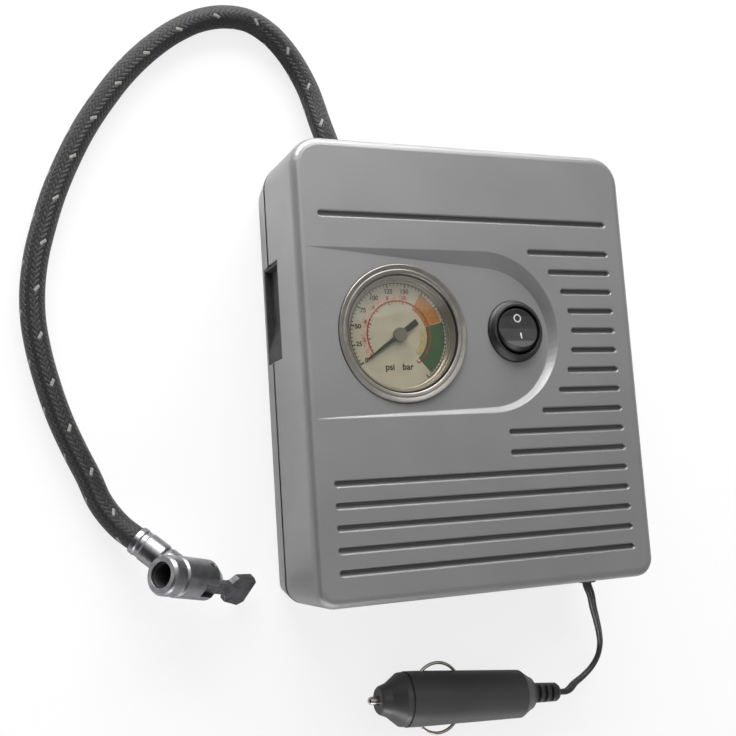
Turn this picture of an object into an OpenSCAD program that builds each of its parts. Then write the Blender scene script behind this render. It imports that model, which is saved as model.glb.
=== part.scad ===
// Portable 12 V tire inflator, lying on its back: origin at the middle of the
// rear face, +X across the panel, +Y towards the hose end, +Z out of the panel.

/* [Casing] */
// Width of the casing, across the panel
case_w = 137; // [134:1:144]
// Length of the casing, from the cord end to the hose end
case_l = 164; // [162:1:172]
// Depth of the casing, from the rear face to the panel
case_d = 50; // [49:0.5:54]
// Height of the joint between the two shells above the rear face
split_z = 17; // [16:0.5:19]
// Wall thickness of both shells
wall = 2.4; // [2:0.1:2.8]
// Corner radius at the hose end, seen from the front
corner_top_r = 11; // [9:0.5:14]
// Corner radius at the cord end, seen from the front
corner_end_r = 7; // [6:0.5:10]
// Rounding of the front edge
front_edge_r = 3.2; // [2.6:0.2:4]
// How far the rear shell tapers in on each side
rear_inset = 2.5; // [1.5:0.5:3]
// Rounding of the rear edge
rear_edge_r = 3; // [2:0.5:3.5]
// Width of the shadow gap between the shells
shadow_gap = 1.1; // [0.6:0.1:1.4]

/* [Panel] */
// Depth of the sunk instrument panel at the switch
panel_sink = 2.5; // [1.5:0.25:3]
// Radius of the panel's round end
panel_r = 30; // [28:0.5:32]
// Centre of the panel's round end, across the casing
panel_x = 4; // [2:0.5:6]
// Centre of the panel's round end, along the casing
panel_y = 12; // [10:0.5:14]
// Mean width of the sloping wall round the panel
panel_slope = 4; // [3:0.5:4.5]
// Shift of the panel's floor towards the cord end, which widens its upper slope
panel_shift = 2; // [0:0.5:2.5]
// Pitch of the grooves across the front
groove_pitch = 7.5; // [7:0.1:7.8]
// Width of a groove at the face
groove_w = 2.5; // [1.5:0.1:3]
// Width of a groove at its floor
groove_floor_w = 1; // [0.6:0.1:1.4]
// Depth of a groove
groove_depth = 1.2; // [0.8:0.1:1.4]
// Number of grooves below the single top one
groove_count = 16; // [14:1:16]
// Distance of the grooves' ends from the sides of the casing
groove_end_gap = 8.5; // [7.5:0.5:12]

/* [Pressure gauge] */
// Radius of the gauge's rim
gauge_r = 25; // [24:0.25:25.5]
// Centre of the gauge across the casing
gauge_x = -29.7; // [-31:0.1:-28.5]
// Centre of the gauge along the casing
gauge_y = 11.5; // [10.5:0.1:12.5]
// Depth of the gauge case behind the panel
gauge_depth = 25; // [24:0.5:26]
// Depth of the dial below the panel floor
dial_sink = 3.5; // [3:0.25:4]
// Swing of the pointer over the whole scale
needle_swing = 270; // [240:5:290]

/* [Switch] */
// Radius of the rocker switch's flange
switch_r = 11.5; // [11:0.25:12]
// Centre of the switch across the casing
switch_x = 16.7; // [15:0.1:17]
// Centre of the switch along the casing
switch_y = 12.3; // [11:0.1:13]
// Tilt of the rocker to each side of level
rocker_tilt = 9; // [6:1:10]

/* [Motor] */
// Radius of the motor can
motor_r = 18; // [16:0.5:18]
// Length of the motor can
motor_len = 50; // [46:1:52]
// Gap between the motor and the side wall
motor_gap = 2.1; // [2:0.1:3]
// Distance of the motor's face from the cord end of the casing
motor_from_end = 37; // [36:0.5:38]
// Height of the drive's centre line above the rear face
drive_z = 25; // [24.5:0.25:25.5]
// Radius of the motor shaft
shaft_r = 1.585; // [1.5:0.005:1.6]

/* [Drive] */
// Gear module, the pitch diameter per tooth
gear_module = 0.7; // [0.66:0.01:0.7]
// Teeth on the motor pinion
pinion_teeth = 12; // [12:1:13]
// Teeth on the crank gear
gear_teeth = 54; // [50:1:54]
// Width of the gears
gear_w = 7; // [6:0.5:7]
// Crank radius, half the piston's stroke
crank_r = 5; // [4:0.5:5]
// Distance between the centres of the connecting rod
rod_len = 31; // [30:0.5:32]
// Radius of the cylinder bore
bore_r = 8; // [7:0.25:8]
// Length of the cylinder sleeve
sleeve_len = 21; // [20:0.5:23]

/* [Air hose and chuck] */
// Outer radius of the air hose
hose_r = 4.5; // [4:0.1:4.5]
// Place of the hose across the casing
hose_x = -37.5; // [-40:0.5:-32]
// Height of the hose above the rear face where it leaves the casing
hose_z = 10; // [9:0.5:10]
// Outer radius of the chuck body
chuck_r = 7.2; // [6.8:0.1:7.6]
// Length of the chuck body
chuck_len = 27; // [25:0.5:29]
// Radius of the valve seat in the chuck
valve_r = 3.9; // [3.7:0.05:4]
// Lean of the chuck's hose tail towards its mouth
tail_lean = 26; // [20:1:30]
// Length of the thumb lever past the chuck body
lever_reach = 16; // [14:0.5:18]

/* [Power lead] */
// Width of the flat twin lead
lead_w = 4.2; // [3.8:0.1:4.6]
// Thickness of the flat twin lead
lead_t = 2.2; // [2:0.1:2.4]
// Place of the lead across the casing
lead_x = 59; // [54:0.5:59]
// Radius of the plug barrel at its front
plug_r = 10.2; // [10:0.05:10.4]
// Radius of the plug barrel at its rear
plug_rear_r = 9.1; // [8.6:0.1:10]
// Length of the plug from its tip to the end of its boot
plug_len = 82; // [78:1:86]
// Travel of the sprung tip contact
tip_travel = 2.5; // [2:0.1:2.5]
// Travel of the side contacts
side_travel = 1.5; // [1:0.1:1.8]

/* [Hidden] */

$fn = 48;
eps = 0.01;
slack = 0.3;
running = 0.05;

// Levels of the casing
front_z = case_d;
floor_z = front_z - panel_sink;
floor_under_z = floor_z - wall;
face_in_z = front_z - wall;
front_rim_z = split_z + shadow_gap;
lip_top_z = front_rim_z + 1.8;
lip_out = wall / 2 + 0.1;
end_y = -case_l / 2;
top_y = case_l / 2;
side_x = -case_w / 2;

// Screw bosses that join the shells
boss_r = 4;
boss_side_gap = 10.5;
boss_top_gap = 13;
boss_end_gaps = [14, 22];
boss_xy = [
    [side_x + boss_side_gap, top_y - boss_top_gap],
    [-side_x - boss_side_gap, top_y - boss_top_gap],
    [side_x + boss_side_gap, end_y + boss_end_gaps[0]],
    [-side_x - boss_side_gap, end_y + boss_end_gaps[1]]
];
screw_r = 1.5;
screw_head_r = 2.9;
screw_well_z = 6;
screw_len = 22;

// Panel and grooves: the panel's floor falls from the left to its full depth
panel_left = side_x + 3.5;
panel_tilt = atan(panel_sink / (switch_x + switch_r - panel_left));
groove_end_x = case_w / 2 - groove_end_gap;
groove_margin = 6;
groove_low_y = end_y + 11.75;
top_groove_y = top_y - 27.9;
print_gap_x = 9.5;

// Finger grip in the side wall
grip_y = [6, 42];
grip_z = [10, 28];
grip_deep_y = 20;
grip_sink = 3.2;

// Levels of the gauge
gauge_neck_r = gauge_r - 2.6;
gauge_out_r = gauge_r - 2.2;
gauge_back_z = floor_z - gauge_depth + 0.5;
dial_z = floor_z - dial_sink;
dial_t = 0.6;
needle_z = dial_z + 0.9;
lens_z = floor_z + 0.5;
stem_z = floor_z - 16.5;
sector_z = dial_z - 9;

// Gauge train
sector_module = 0.4;
staff_teeth = 8;
sector_teeth = 48;
sector_gap = sector_module * (sector_teeth + staff_teeth) / 2;
sector_x = gauge_x;
sector_y = gauge_y - sector_gap;

// Levels of the switch
flange_top_z = floor_z + 1.8;
collar_top_z = floor_z + 3;
rocker_pivot_z = floor_z - 1;
rocker_r = switch_r - 2.6;
collar_in_r = rocker_r + slack;
switch_body_r = switch_r - 1.4;
switch_back_z = floor_z - 17;

// Places of the drive train
motor_x = case_w / 2 - wall - motor_gap - motor_r;
motor_y = end_y + motor_from_end;
center_gap = gear_module * (gear_teeth + pinion_teeth) / 2;
gear_x = motor_x - center_gap;
plate_t = 3;
plate_y = motor_y - plate_t;
gear_back_y = plate_y - 1;
gear_front_y = gear_back_y - gear_w;
crank_boss_y = gear_front_y - 1.3;
rod_t = 5;
rod_back_y = crank_boss_y - slack - 0.4;
bore_y = rod_back_y - rod_t / 2;
crank_x = gear_x + crank_r;
wrist_x = crank_x - rod_len;
piston_crown = 8;
piston_skirt = 4;
head_x = wrist_x - 2 * crank_r - piston_crown - 0.9;
sleeve_x = head_x + sleeve_len;
head_t = 12;
head_half = 13.5;
head_screw_off = 10;
piston_r = bore_r - 0.1;
sleeve_r = bore_r + 1.5;
fin_r = bore_r + 4;
port_x = head_x - 7.7;
gauge_port_z = stem_z;
supply_port_z = drive_z - 9.5;
port_y = bore_y + head_half;
axle_r = 2.5;
crank_pin_r = 2.25;
bush_r = 3.5;

// Air tubes and their barbs
barb_r = 2.2;
barb_len = 10;
tube_in_r = 2.45;
tube_r = 3.6;
gauge_stem_y = gauge_y - gauge_out_r - 7;
fitting_y = top_y - 7;

// Hose route on the surface, in the casing's own axes
hose_route = [
    [-38.2, 93, 9.8], [-39.3, 97, 9.3], [-40.6, 103, 8], [-41.8, 110, 6.3],
    [-43.6, 117.5, 5], [-46.4, 124, 4.5], [-51, 131.5, 4.5], [-58.5, 139.5, 4.5],
    [-67, 144, 4.5], [-76, 144.5, 4.5], [-86, 142, 4.5], [-96, 136.5, 4.5],
    [-106, 128.5, 4.5], [-116, 118, 4.5], [-124.5, 106.5, 4.5], [-132, 94.5, 4.5],
    [-138, 82.5, 4.5], [-143, 70.5, 4.5], [-147, 58, 4.5], [-150, 46, 4.5],
    [-151.5, 34.5, 4.5], [-151.5, 24, 4.5], [-150, 13, 4.5], [-147.2, 1, 4.5],
    [-143.5, -11, 4.5], [-138.8, -22.5, 4.5], [-134.2, -32.5, 4.5], [-131, -40.5, 4.6]
];

// Placing of the chuck: its mouth, and its turns about X, Y and Z
chuck_at = [-114.8, -66.7, 25.4];
chuck_turn = [-58, 34, -12];
tail_x = 13;
tail_root = 11;
ferrule_len = 11.5;
pin_x = chuck_len - 7;
lever_y = -3.4;
lever_w = 4.6;
lever_t = 2.4;

// Lead route, from the grommet to the plug's boot
lead_z = split_z;
lead_route = [
    [60.5, -90, 16.6], [63, -96, 14], [66, -101.5, 11], [68.6, -107, 8.2],
    [69.8, -112, 6.4], [69, -116.5, 5.4], [66, -120.6, 5], [61, -123.8, 5.6],
    [55.6, -125.8, 7.2]
];

// Placing of the plug: its tip, and its turn about Z
plug_at = [-36.8, -120.5, plug_r];
plug_turn = -5;
nose_x = 4;
barrel_x = 15;
straight_len = 5;
boot_len = 13;
barrel_end_x = plug_len - boot_len;
bow_x = 21;
bow_len = 15.5;
bow_out = 3.4;
wire_r = 0.6;
slot_y = 6.3 - side_travel;

// ---- Shared shapes ----

function ring_arc(r, e, z, up) =
    [for (a = [0:22.5:90]) up ? [r - e + e * cos(a), z - e + e * sin(a)]
                              : [r - e + e * sin(a), z + e - e * cos(a)]];

// Round post with its top edge rounded, for the front shell's corners
module front_post(r, e, z0, z1) {
    rotate_extrude($fn = 32)
        polygon([[0, z0], [r, z0], each ring_arc(r, e, z1, true), [0, z1]]);
}

// Round post with its bottom edge rounded, tapering in towards the bottom
module rear_post(r, inset, e, z0, z1) {
    rotate_extrude($fn = 32)
        polygon([[0, z0], each ring_arc(r - inset, e, z0, false), [r, z1], [0, z1]]);
}

function corners(inset) = [
    for (sx = [-1, 1], top = [true, false])
        let (r = top ? corner_top_r : corner_end_r)
            [sx * (case_w / 2 - r), (top ? 1 : -1) * (case_l / 2 - r), r - inset]
];

// Outline of the casing, a given distance inside its outer face
module outline(inset) {
    w = case_w / 2 - inset;
    l = case_l / 2 - inset;
    t = corner_top_r - inset;
    b = corner_end_r - inset;
    polygon([
        [-w, -l + b], [-w + b, -l], [w - b, -l], [w, -l + b],
        [w, l - t], [w - t, l], [-w + t, l], [-w, l - t]
    ]);
    for (c = corners(inset))
        translate([c[0], c[1]])
            circle(c[2]);
}

module front_block(inset, z0) {
    hull()
        for (c = corners(inset))
            translate([c[0], c[1], 0])
                front_post(c[2], front_edge_r - inset / 2, z0, front_z - inset);
}

module rear_block(inset) {
    hull()
        for (c = corners(inset))
            translate([c[0], c[1], 0])
                rear_post(c[2], rear_inset, rear_edge_r - inset / 2, inset, split_z + eps);
}

// Panel outline at the face: a round end, running out at the left edge
module panel_outline(grow) {
    r = panel_r + grow;
    translate([panel_x, panel_y])
        circle(r, $fn = 64);
    translate([panel_left - grow, panel_y - r])
        square([panel_x - panel_left + grow, 2 * r]);
}

// Panel outline at its floor, as wide as the panel at the left
module panel_floor(grow) {
    r = panel_r + grow;
    hull() {
        translate([panel_x + panel_shift / 2, panel_y - panel_shift])
            circle(r - panel_slope, $fn = 64);
        translate([panel_left, panel_y - r])
            square([eps, 2 * r]);
    }
}

// Space of the panel, down to its tilted floor
module panel_sunk() {
    hull() {
        translate([0, 0, front_z])
            linear_extrude(eps)
                panel_outline(0);
        translate([panel_left, 0, front_z])
            rotate([0, panel_tilt, 0])
                linear_extrude(eps)
                    translate([-panel_left, 0])
                        panel_floor(0);
    }
}

// Tray that holds the panel's floor, level underneath
module panel_tray() {
    hull() {
        translate([0, 0, front_z - eps])
            linear_extrude(eps)
                panel_outline(wall);
        translate([0, 0, floor_under_z])
            linear_extrude(eps)
                panel_floor(wall);
    }
}

// Slot with round ends, along X
module slot_x(x0, x1, w) {
    translate([x0 + w / 2, -w / 2])
        square([x1 - x0 - w, w]);
    for (x = [x0 + w / 2, x1 - w / 2])
        translate([x, 0])
            circle(w / 2);
}

// Cylinder along Y, from y0 to y1
module rod_y(x, z, r, y0, y1) {
    translate([x, y1, z])
        rotate([90, 0, 0])
            cylinder(r = r, h = y1 - y0);
}

// Cylinder along X, from x0 to x1
module rod_x(y, z, r, x0, x1) {
    translate([x0, y, z])
        rotate([0, 90, 0])
            cylinder(r = r, h = x1 - x0);
}

// Turned shape along X from a profile of [x, radius] pairs
module turned_x(profile) {
    rotate([0, 90, 0])
        rotate_extrude()
            polygon([for (p = profile) [p[1], p[0]]]);
}

// Turned shape along Y from a profile of [y, radius] pairs
module turned_y(profile) {
    rotate([-90, 0, 0])
        rotate_extrude()
            polygon([for (p = profile) [p[1], p[0]]]);
}

// Involute gear outline
function inv(a) = tan(a) * 180 / PI - a;

function tooth_half(r, m, n, play) =
    let (rp = m * n / 2)
    let (rb = rp * cos(20))
    let (a = r > rb ? acos(rb / r) : 0)
        90 / n - play / (2 * r) * 180 / PI + inv(20) - inv(a);

module gear_outline(m, n, play) {
    rp = m * n / 2;
    root = rp - 1.3 * m;
    tip = rp + 0.95 * m;
    levels = [max(root, rp * cos(20)), rp - 0.4 * m, rp + 0.3 * m, tip];
    points = [
        for (i = [0:n - 1])
            let (c = i * 360 / n)
                each concat(
                    [let (h = tooth_half(levels[0], m, n, play))
                        [root * cos(c - h), root * sin(c - h)]],
                    [for (r = levels)
                        let (h = tooth_half(r, m, n, play))
                            [r * cos(c - h), r * sin(c - h)]],
                    [for (k = [3:-1:0])
                        let (r = levels[k])
                        let (h = tooth_half(r, m, n, play))
                            [r * cos(c + h), r * sin(c + h)]],
                    [let (h = tooth_half(levels[0], m, n, play))
                        [root * cos(c + h), root * sin(c + h)]]
                )
    ];
    polygon(points);
}

// Tube swept along a route: a polyhedron with one ring at each point
function unit(v) = v / norm(v);

function along(route, i) =
    let (n = len(route))
        unit(route[min(i + 1, n - 1)] - route[max(i - 1, 0)]);

function ring(route, i, rw, rt, sides, twist) =
    let (t = along(route, i))
    let (side = unit(cross(t, [0, 0, 1])))
    let (up = cross(side, t))
    let (roll = twist * i / (len(route) - 1))
        [for (k = [0:sides - 1])
            let (a = (k + 0.5) * 360 / sides)
            let (u = rw * cos(a))
            let (v = rt * sin(a))
                route[i] + side * (u * cos(roll) - v * sin(roll))
                         + up * (u * sin(roll) + v * cos(roll))];

module swept(route, rw, rt, sides, twist) {
    n = len(route);
    points = [for (i = [0:n - 1]) each ring(route, i, rw, rt, sides, twist)];
    walls = [
        for (i = [0:n - 2], k = [0:sides - 1])
            let (a = i * sides + k)
            let (b = i * sides + (k + 1) % sides)
                each [[a, a + sides, b], [b, a + sides, b + sides]]
    ];
    first = [for (k = [1:sides - 2]) [0, k, k + 1]];
    last_at = (n - 1) * sides;
    last = [for (k = [1:sides - 2]) [last_at, last_at + k + 1, last_at + k]];
    polyhedron(points, concat(walls, first, last), convexity = 8);
}

// A point of the chuck's own axes, in the casing's axes
function turn_x(p, a) = [p[0], p[1] * cos(a) - p[2] * sin(a), p[1] * sin(a) + p[2] * cos(a)];

function turn_y(p, a) = [p[0] * cos(a) + p[2] * sin(a), p[1], -p[0] * sin(a) + p[2] * cos(a)];

function turn_z(p, a) = [p[0] * cos(a) - p[1] * sin(a), p[0] * sin(a) + p[1] * cos(a), p[2]];

function chuck_point(p) =
    chuck_at + turn_z(turn_y(turn_x(p, chuck_turn[0]), chuck_turn[1]), chuck_turn[2]);

function tail_point(t) = chuck_point([tail_x - t * sin(tail_lean), t * cos(tail_lean), 0]);

module in_chuck() {
    translate(chuck_at)
        rotate(chuck_turn)
            children();
}

module in_tail() {
    in_chuck()
        translate([tail_x, 0, 0])
            rotate([0, 0, 90 + tail_lean])
                children();
}

function plug_point(p) = plug_at + turn_z(p, plug_turn);

module in_plug() {
    translate(plug_at)
        rotate([0, 0, plug_turn])
            children();
}

// ---- Casing ----

// Groove with sloping sides and round ends
module groove(y, x0, x1) {
    translate([0, y, front_z - groove_depth])
        hull()
            for (x = [x0 + groove_w / 2, x1 - groove_w / 2])
                translate([x, 0, 0])
                    cylinder(r1 = groove_floor_w / 2, r2 = groove_w / 2,
                             h = groove_depth + eps, $fn = 16);
}

// Left end of a groove: beside the panel, right of the bare patch, or full width
function groove_start(y) =
    let (dy = y - panel_y)
    let (r = panel_r + groove_margin)
        abs(dy) < r - 5 ? panel_x + sqrt(r * r - dy * dy)
                        : y > -panel_r - 10 ? print_gap_x
                                            : -groove_end_x;

module grooves() {
    groove(top_groove_y, -groove_end_x, groove_end_x);
    for (i = [0:groove_count - 1])
        let (y = groove_low_y + i * groove_pitch)
            groove(y, groove_start(y), groove_end_x);
}

module grip_hole(grow) {
    translate([side_x - 5, grip_y[0] - grow, grip_z[0] - grow])
        cube([10, grip_y[1] - grip_y[0] + 2 * grow, grip_z[1] - grip_z[0] + 2 * grow]);
}

module front_shell() {
    color([0.62, 0.63, 0.64])
    difference() {
        union() {
            difference() {
                front_block(0, front_rim_z);
                front_block(wall, split_z - 1);
                translate([0, 0, split_z - 1])
                    linear_extrude(lip_top_z + 0.3 - split_z + 1)
                        outline(lip_out - 0.1);
            }
            intersection() {
                panel_tray();
                front_block(0.5, split_z);
            }
            for (p = boss_xy)
                translate([p[0], p[1], split_z + 0.2])
                    cylinder(r = boss_r, h = face_in_z - split_z + 0.5);
        }
        panel_sunk();
        grooves();
        translate([gauge_x, gauge_y, floor_z])
            cylinder(r = gauge_r + 0.15, h = 10, $fn = 96);
        translate([switch_x, switch_y, floor_z])
            cylinder(r = switch_r + 0.15, h = 10);
        translate([gauge_x, gauge_y, 30])
            cylinder(r = gauge_neck_r + 0.2, h = 30, $fn = 96);
        translate([switch_x, switch_y, 30])
            cylinder(r = switch_body_r + 0.15, h = 30);
        for (p = boss_xy)
            translate([p[0], p[1], split_z])
                cylinder(r = screw_r + running, h = screw_len - 4);
        grip_hole(0.2);
        rod_y(lead_x, lead_z, 4.1, end_y - 5, end_y + 8);
    }
}

module rear_shell() {
    color([0.6, 0.61, 0.62])
    difference() {
        union() {
            difference() {
                rear_block(0);
                rear_block(wall);
            }
            difference() {
                translate([0, 0, split_z - 1.5])
                    linear_extrude(lip_top_z - split_z + 1.5)
                        outline(lip_out);
                translate([0, 0, split_z - 3])
                    linear_extrude(10)
                        outline(wall + 0.2);
            }
            for (p = boss_xy)
                translate([p[0], p[1], 1])
                    cylinder(r = boss_r, h = split_z - 1);
            for (y = [motor_y + 9, motor_y + motor_len - 9])
                motor_cradle(y);
            for (p = frame_foot_xy)
                translate([p[0], p[1], 1])
                    cylinder(r = 3.4, h = foot_z - 1);
            rod_y(hose_x, hose_z, gland_out_r - 0.2, gland_seat_y, top_y);
        }
        for (p = boss_xy) {
            translate([p[0], p[1], -1])
                cylinder(r = screw_head_r + 0.3, h = screw_well_z + 1);
            translate([p[0], p[1], 1])
                cylinder(r = screw_r + 0.2, h = split_z);
        }
        for (p = frame_foot_xy)
            translate([p[0], p[1], wall + 0.6])
                cylinder(r = screw_r + running, h = foot_z);
        rear_vents();
        grip_hole(0.2);
        rod_y(hose_x, hose_z, gland_neck_r + 0.15, top_y - 12, top_y + 5);
        rod_y(lead_x, lead_z, 4.1, end_y - 5, end_y + 8);
    }
}

// Rib under the motor, hollowed to the motor's curve
module motor_cradle(y) {
    difference() {
        translate([motor_x - 12, y - 1.2, 1])
            cube([24, 2.4, drive_z - motor_r + 5]);
        rod_y(motor_x, drive_z, motor_r + 0.3, y - 5, y + 5);
    }
}

// Cooling slots in the rear face, under the motor
vent_count = 6;
vent_pitch = 6;
module rear_vents() {
    for (i = [0:vent_count - 1])
        translate([0, motor_y + motor_len / 2 - 15 + i * vent_pitch, -1])
            linear_extrude(wall + 2)
                slot_x(motor_x - 10, motor_x + 10, 2);
}

foot_z = 6;
frame_foot_xy = [[gear_x - 15, plate_y + 7.5], [motor_x + 4.5, plate_y - 9]];

module case_screws() {
    color([0.35, 0.35, 0.37])
    for (p = boss_xy)
        translate([p[0], p[1], screw_well_z])
            difference() {
                union() {
                    translate([0, 0, -2.2])
                        cylinder(r = screw_head_r, h = 2.2);
                    cylinder(r = screw_r, h = screw_len);
                }
                for (a = [0, 90])
                    rotate([0, 0, a])
                        translate([-1.8, -0.35, -3])
                            cube([3.6, 0.7, 1.9]);
            }
}

module side_grip() {
    x_in = side_x + wall + 1.9;
    color([0.13, 0.13, 0.14])
    difference() {
        union() {
            translate([side_x + 0.7, grip_y[0], grip_z[0]])
                cube([x_in - side_x, grip_y[1] - grip_y[0], grip_z[1] - grip_z[0]]);
            translate([x_in, grip_y[0] - 2, grip_z[0] - 2])
                cube([1.4, grip_y[1] - grip_y[0] + 4, grip_z[1] - grip_z[0] + 4]);
        }
        translate([0, 0, grip_z[0] + 1.2])
            linear_extrude(grip_z[1] - grip_z[0] - 2.4)
                polygon([
                    [side_x, grip_y[0] + 1], [side_x + grip_sink, grip_deep_y],
                    [side_x + grip_sink, grip_y[1] - 1], [side_x, grip_y[1] - 1]
                ]);
    }
}

// ---- Pressure gauge ----

module gauge_case() {
    color([0.2, 0.2, 0.2])
    translate([gauge_x, gauge_y, 0])
        difference() {
            union() {
                translate([0, 0, gauge_back_z])
                    cylinder(r = gauge_out_r - 0.6, h = floor_under_z - gauge_back_z, $fn = 96);
                translate([0, 0, floor_under_z - 1.5])
                    cylinder(r = gauge_r - 0.5, h = 1.5, $fn = 96);
                translate([0, 0, floor_under_z - eps])
                    cylinder(r = gauge_neck_r, h = lens_z - floor_under_z + eps, $fn = 96);
            }
            translate([0, 0, gauge_back_z + 1.4])
                cylinder(r = gauge_neck_r - 2.4, h = 40, $fn = 96);
            translate([0, 0, dial_z])
                cylinder(r = gauge_neck_r - 1.4, h = 40, $fn = 96);
            rod_y(0, stem_z, 4.15, -40, 0);
        }
}

module gauge_bezel() {
    color([0.75, 0.76, 0.76])
    translate([gauge_x, gauge_y, 0])
        rotate_extrude($fn = 96)
            polygon([
                [gauge_neck_r + 0.1, floor_z], [gauge_r, floor_z],
                [gauge_r, floor_z + 1.2], [gauge_r - 0.7, floor_z + 2.2],
                [gauge_r - 1.6, floor_z + 2.6], [gauge_neck_r - 0.9, floor_z + 2.3],
                [gauge_neck_r - 0.9, lens_z + 1.4], [gauge_neck_r + 0.1, lens_z + 1.4]
            ]);
}

module gauge_lens() {
    color([0.85, 0.9, 0.9, 0.35])
    translate([gauge_x, gauge_y, lens_z])
        cylinder(r = gauge_neck_r - 0.1, h = 1.4, $fn = 96);
}

module gauge_dial() {
    color([0.9, 0.88, 0.78])
    translate([gauge_x, gauge_y, dial_z])
        difference() {
            cylinder(r = gauge_neck_r - 1.5, h = dial_t, $fn = 96);
            translate([0, 0, -1])
                cylinder(r = 1.2, h = 3);
        }
}

// Pointer with its hub, staff and pinion; it rests on the zero of the scale
needle_zero = 214;
module gauge_needle() {
    color([0.08, 0.08, 0.08])
    translate([gauge_x, gauge_y, 0]) {
        translate([0, 0, needle_z])
            linear_extrude(0.5)
                rotate([0, 0, needle_zero])
                    polygon([[-8.6, -1.1], [-8.6, 1.1], [0, 0.9], [15.6, 0.25], [15.6, -0.25], [0, -0.9]]);
        translate([0, 0, needle_z - 0.1])
            cylinder(r = 2.5, h = 1.4);
        translate([0, 0, sector_z - 2])
            cylinder(r = 0.6, h = needle_z - sector_z + 2);
        translate([0, 0, sector_z])
            linear_extrude(2)
                rotate([0, 0, 270 + 180 / staff_teeth])
                    gear_outline(sector_module, staff_teeth, 0.12);
    }
}

// Two plates and their pillars, standing on the stem's block
module gauge_movement() {
    plates = [sector_z - 2.6, sector_z + 3];
    color([0.8, 0.68, 0.35])
    translate([gauge_x, gauge_y, 0])
        difference() {
            union() {
                for (z = plates)
                    translate([-7, -sector_gap - 2.8, z])
                        cube([14, sector_gap + 6.3, 0.8]);
                for (x = [-5.8, 5.8])
                    translate([x, 2, plates[0]])
                        cylinder(r = 0.9, h = plates[1] - plates[0] + 0.8);
            }
            translate([0, 0, 10])
                cylinder(r = 0.66, h = 40);
            translate([0, -sector_gap, 10])
                cylinder(r = 0.86, h = 40);
        }
}

// Toothed sector on its arbor; the teeth span a little more than the swing
module gauge_sector() {
    swing = needle_swing * staff_teeth / sector_teeth;
    half = swing / 2 + 8;
    reach = 1.4 * sector_module * sector_teeth / 2;
    color([0.82, 0.7, 0.38])
    translate([sector_x, sector_y, 0]) {
        translate([0, 0, sector_z])
            linear_extrude(1.2)
                intersection() {
                    rotate([0, 0, 90])
                        gear_outline(sector_module, sector_teeth, 0.12);
                    rotate([0, 0, -swing / 2])
                        polygon([
                            [-1.5, -1.5], [1.5, -1.5],
                            [reach * sin(half), reach * cos(half)], [0, reach],
                            [-reach * sin(half), reach * cos(half)]
                        ]);
                }
        translate([0, 0, sector_z - 2.2])
            cylinder(r = 0.8, h = 5.6);
        translate([0, 0, sector_z])
            cylinder(r = 2, h = 1.2);
    }
}

// Arc of the flat-sided tube, grown by a clearance
module bourdon_arc(from, sweep, grow) {
    rotate([0, 0, from])
        rotate_extrude(angle = sweep, $fn = 96)
            translate([bourdon_r - grow, -2.5 - grow])
                square([1.8 + 2 * grow, 5 + 2 * grow]);
}

// C tube, brazed into the stem's block, that straightens under pressure
bourdon_r = 16;
module bourdon_tube() {
    color([0.78, 0.62, 0.3])
    translate([gauge_x, gauge_y, stem_z])
        bourdon_arc(-91, 255, 0);
}

module gauge_stem() {
    color([0.8, 0.65, 0.32])
    translate([gauge_x, 0, stem_z])
        difference() {
            union() {
                translate([-4, gauge_y - 18.6, -4])
                    cube([8, 4.5, 8]);
                rod_y(0, 0, 4, gauge_stem_y + 5, gauge_y - 18);
                translate([0, gauge_stem_y + 5, 0])
                    rotate([90, 0, 0])
                        cylinder(r = 5.2, h = 5, $fn = 6);
                barb(gauge_stem_y, -1);
            }
            rod_y(0, 0, 1.1, gauge_stem_y - 20, gauge_y - 15);
            translate([0, gauge_y, 0])
                bourdon_arc(-93, 40, 0.05);
        }
}

// Hose barb along Y that starts at y and points along dir
module barb(y, dir) {
    translate([0, y, 0])
        mirror([0, dir < 0 ? 1 : 0, 0])
            turned_y([[-0.5, 0], [-0.5, barb_r - 0.3], [barb_len - 2, barb_r - 0.3],
                      [barb_len - 2, barb_r], [barb_len, barb_r - 0.7], [barb_len, 0]]);
}

// ---- Rocker switch ----

module switch_housing() {
    color([0.07, 0.07, 0.07])
    translate([switch_x, switch_y, 0])
        difference() {
            union() {
                rotate_extrude()
                    polygon([
                        [0, floor_z], [switch_r, floor_z], [switch_r, floor_z + 1],
                        [switch_r - 0.8, flange_top_z], [collar_in_r + 0.8, collar_top_z],
                        [0, collar_top_z]
                    ]);
                translate([0, 0, switch_back_z])
                    cylinder(r = switch_body_r, h = floor_z - switch_back_z + eps);
            }
            translate([0, 0, switch_back_z + 2])
                cylinder(r = collar_in_r, h = 40);
            rod_x(0, rocker_pivot_z, 1.06, -switch_r, switch_r);
            for (y = [-5, 5])
                translate([-3.4, y - 0.6, switch_back_z - 1])
                    cube([6.8, 1.2, 4]);
        }
}

// Round rocker: a ball trimmed to two faces that meet over the pivot
module switch_rocker() {
    top = collar_top_z - rocker_pivot_z + 1.2;
    drop = rocker_r * tan(rocker_tilt);
    color([0.06, 0.06, 0.06])
    translate([switch_x, switch_y, rocker_pivot_z])
        rotate([-rocker_tilt, 0, 0]) {
            intersection() {
                sphere(r = rocker_r, $fn = 96);
                rotate([90, 0, 90])
                    translate([0, 0, -switch_r])
                        linear_extrude(2 * switch_r)
                            polygon([
                                [-rocker_r, -4], [rocker_r, -4], [rocker_r, top],
                                [rocker_r * 0.55, top - drop * 0.75], [0, top - drop],
                                [-rocker_r * 0.55, top - drop * 0.75], [-rocker_r, top]
                            ]);
            }
            rod_x(0, 0, 1, -switch_body_r + 0.2, switch_body_r - 0.2);
        }
}

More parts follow.
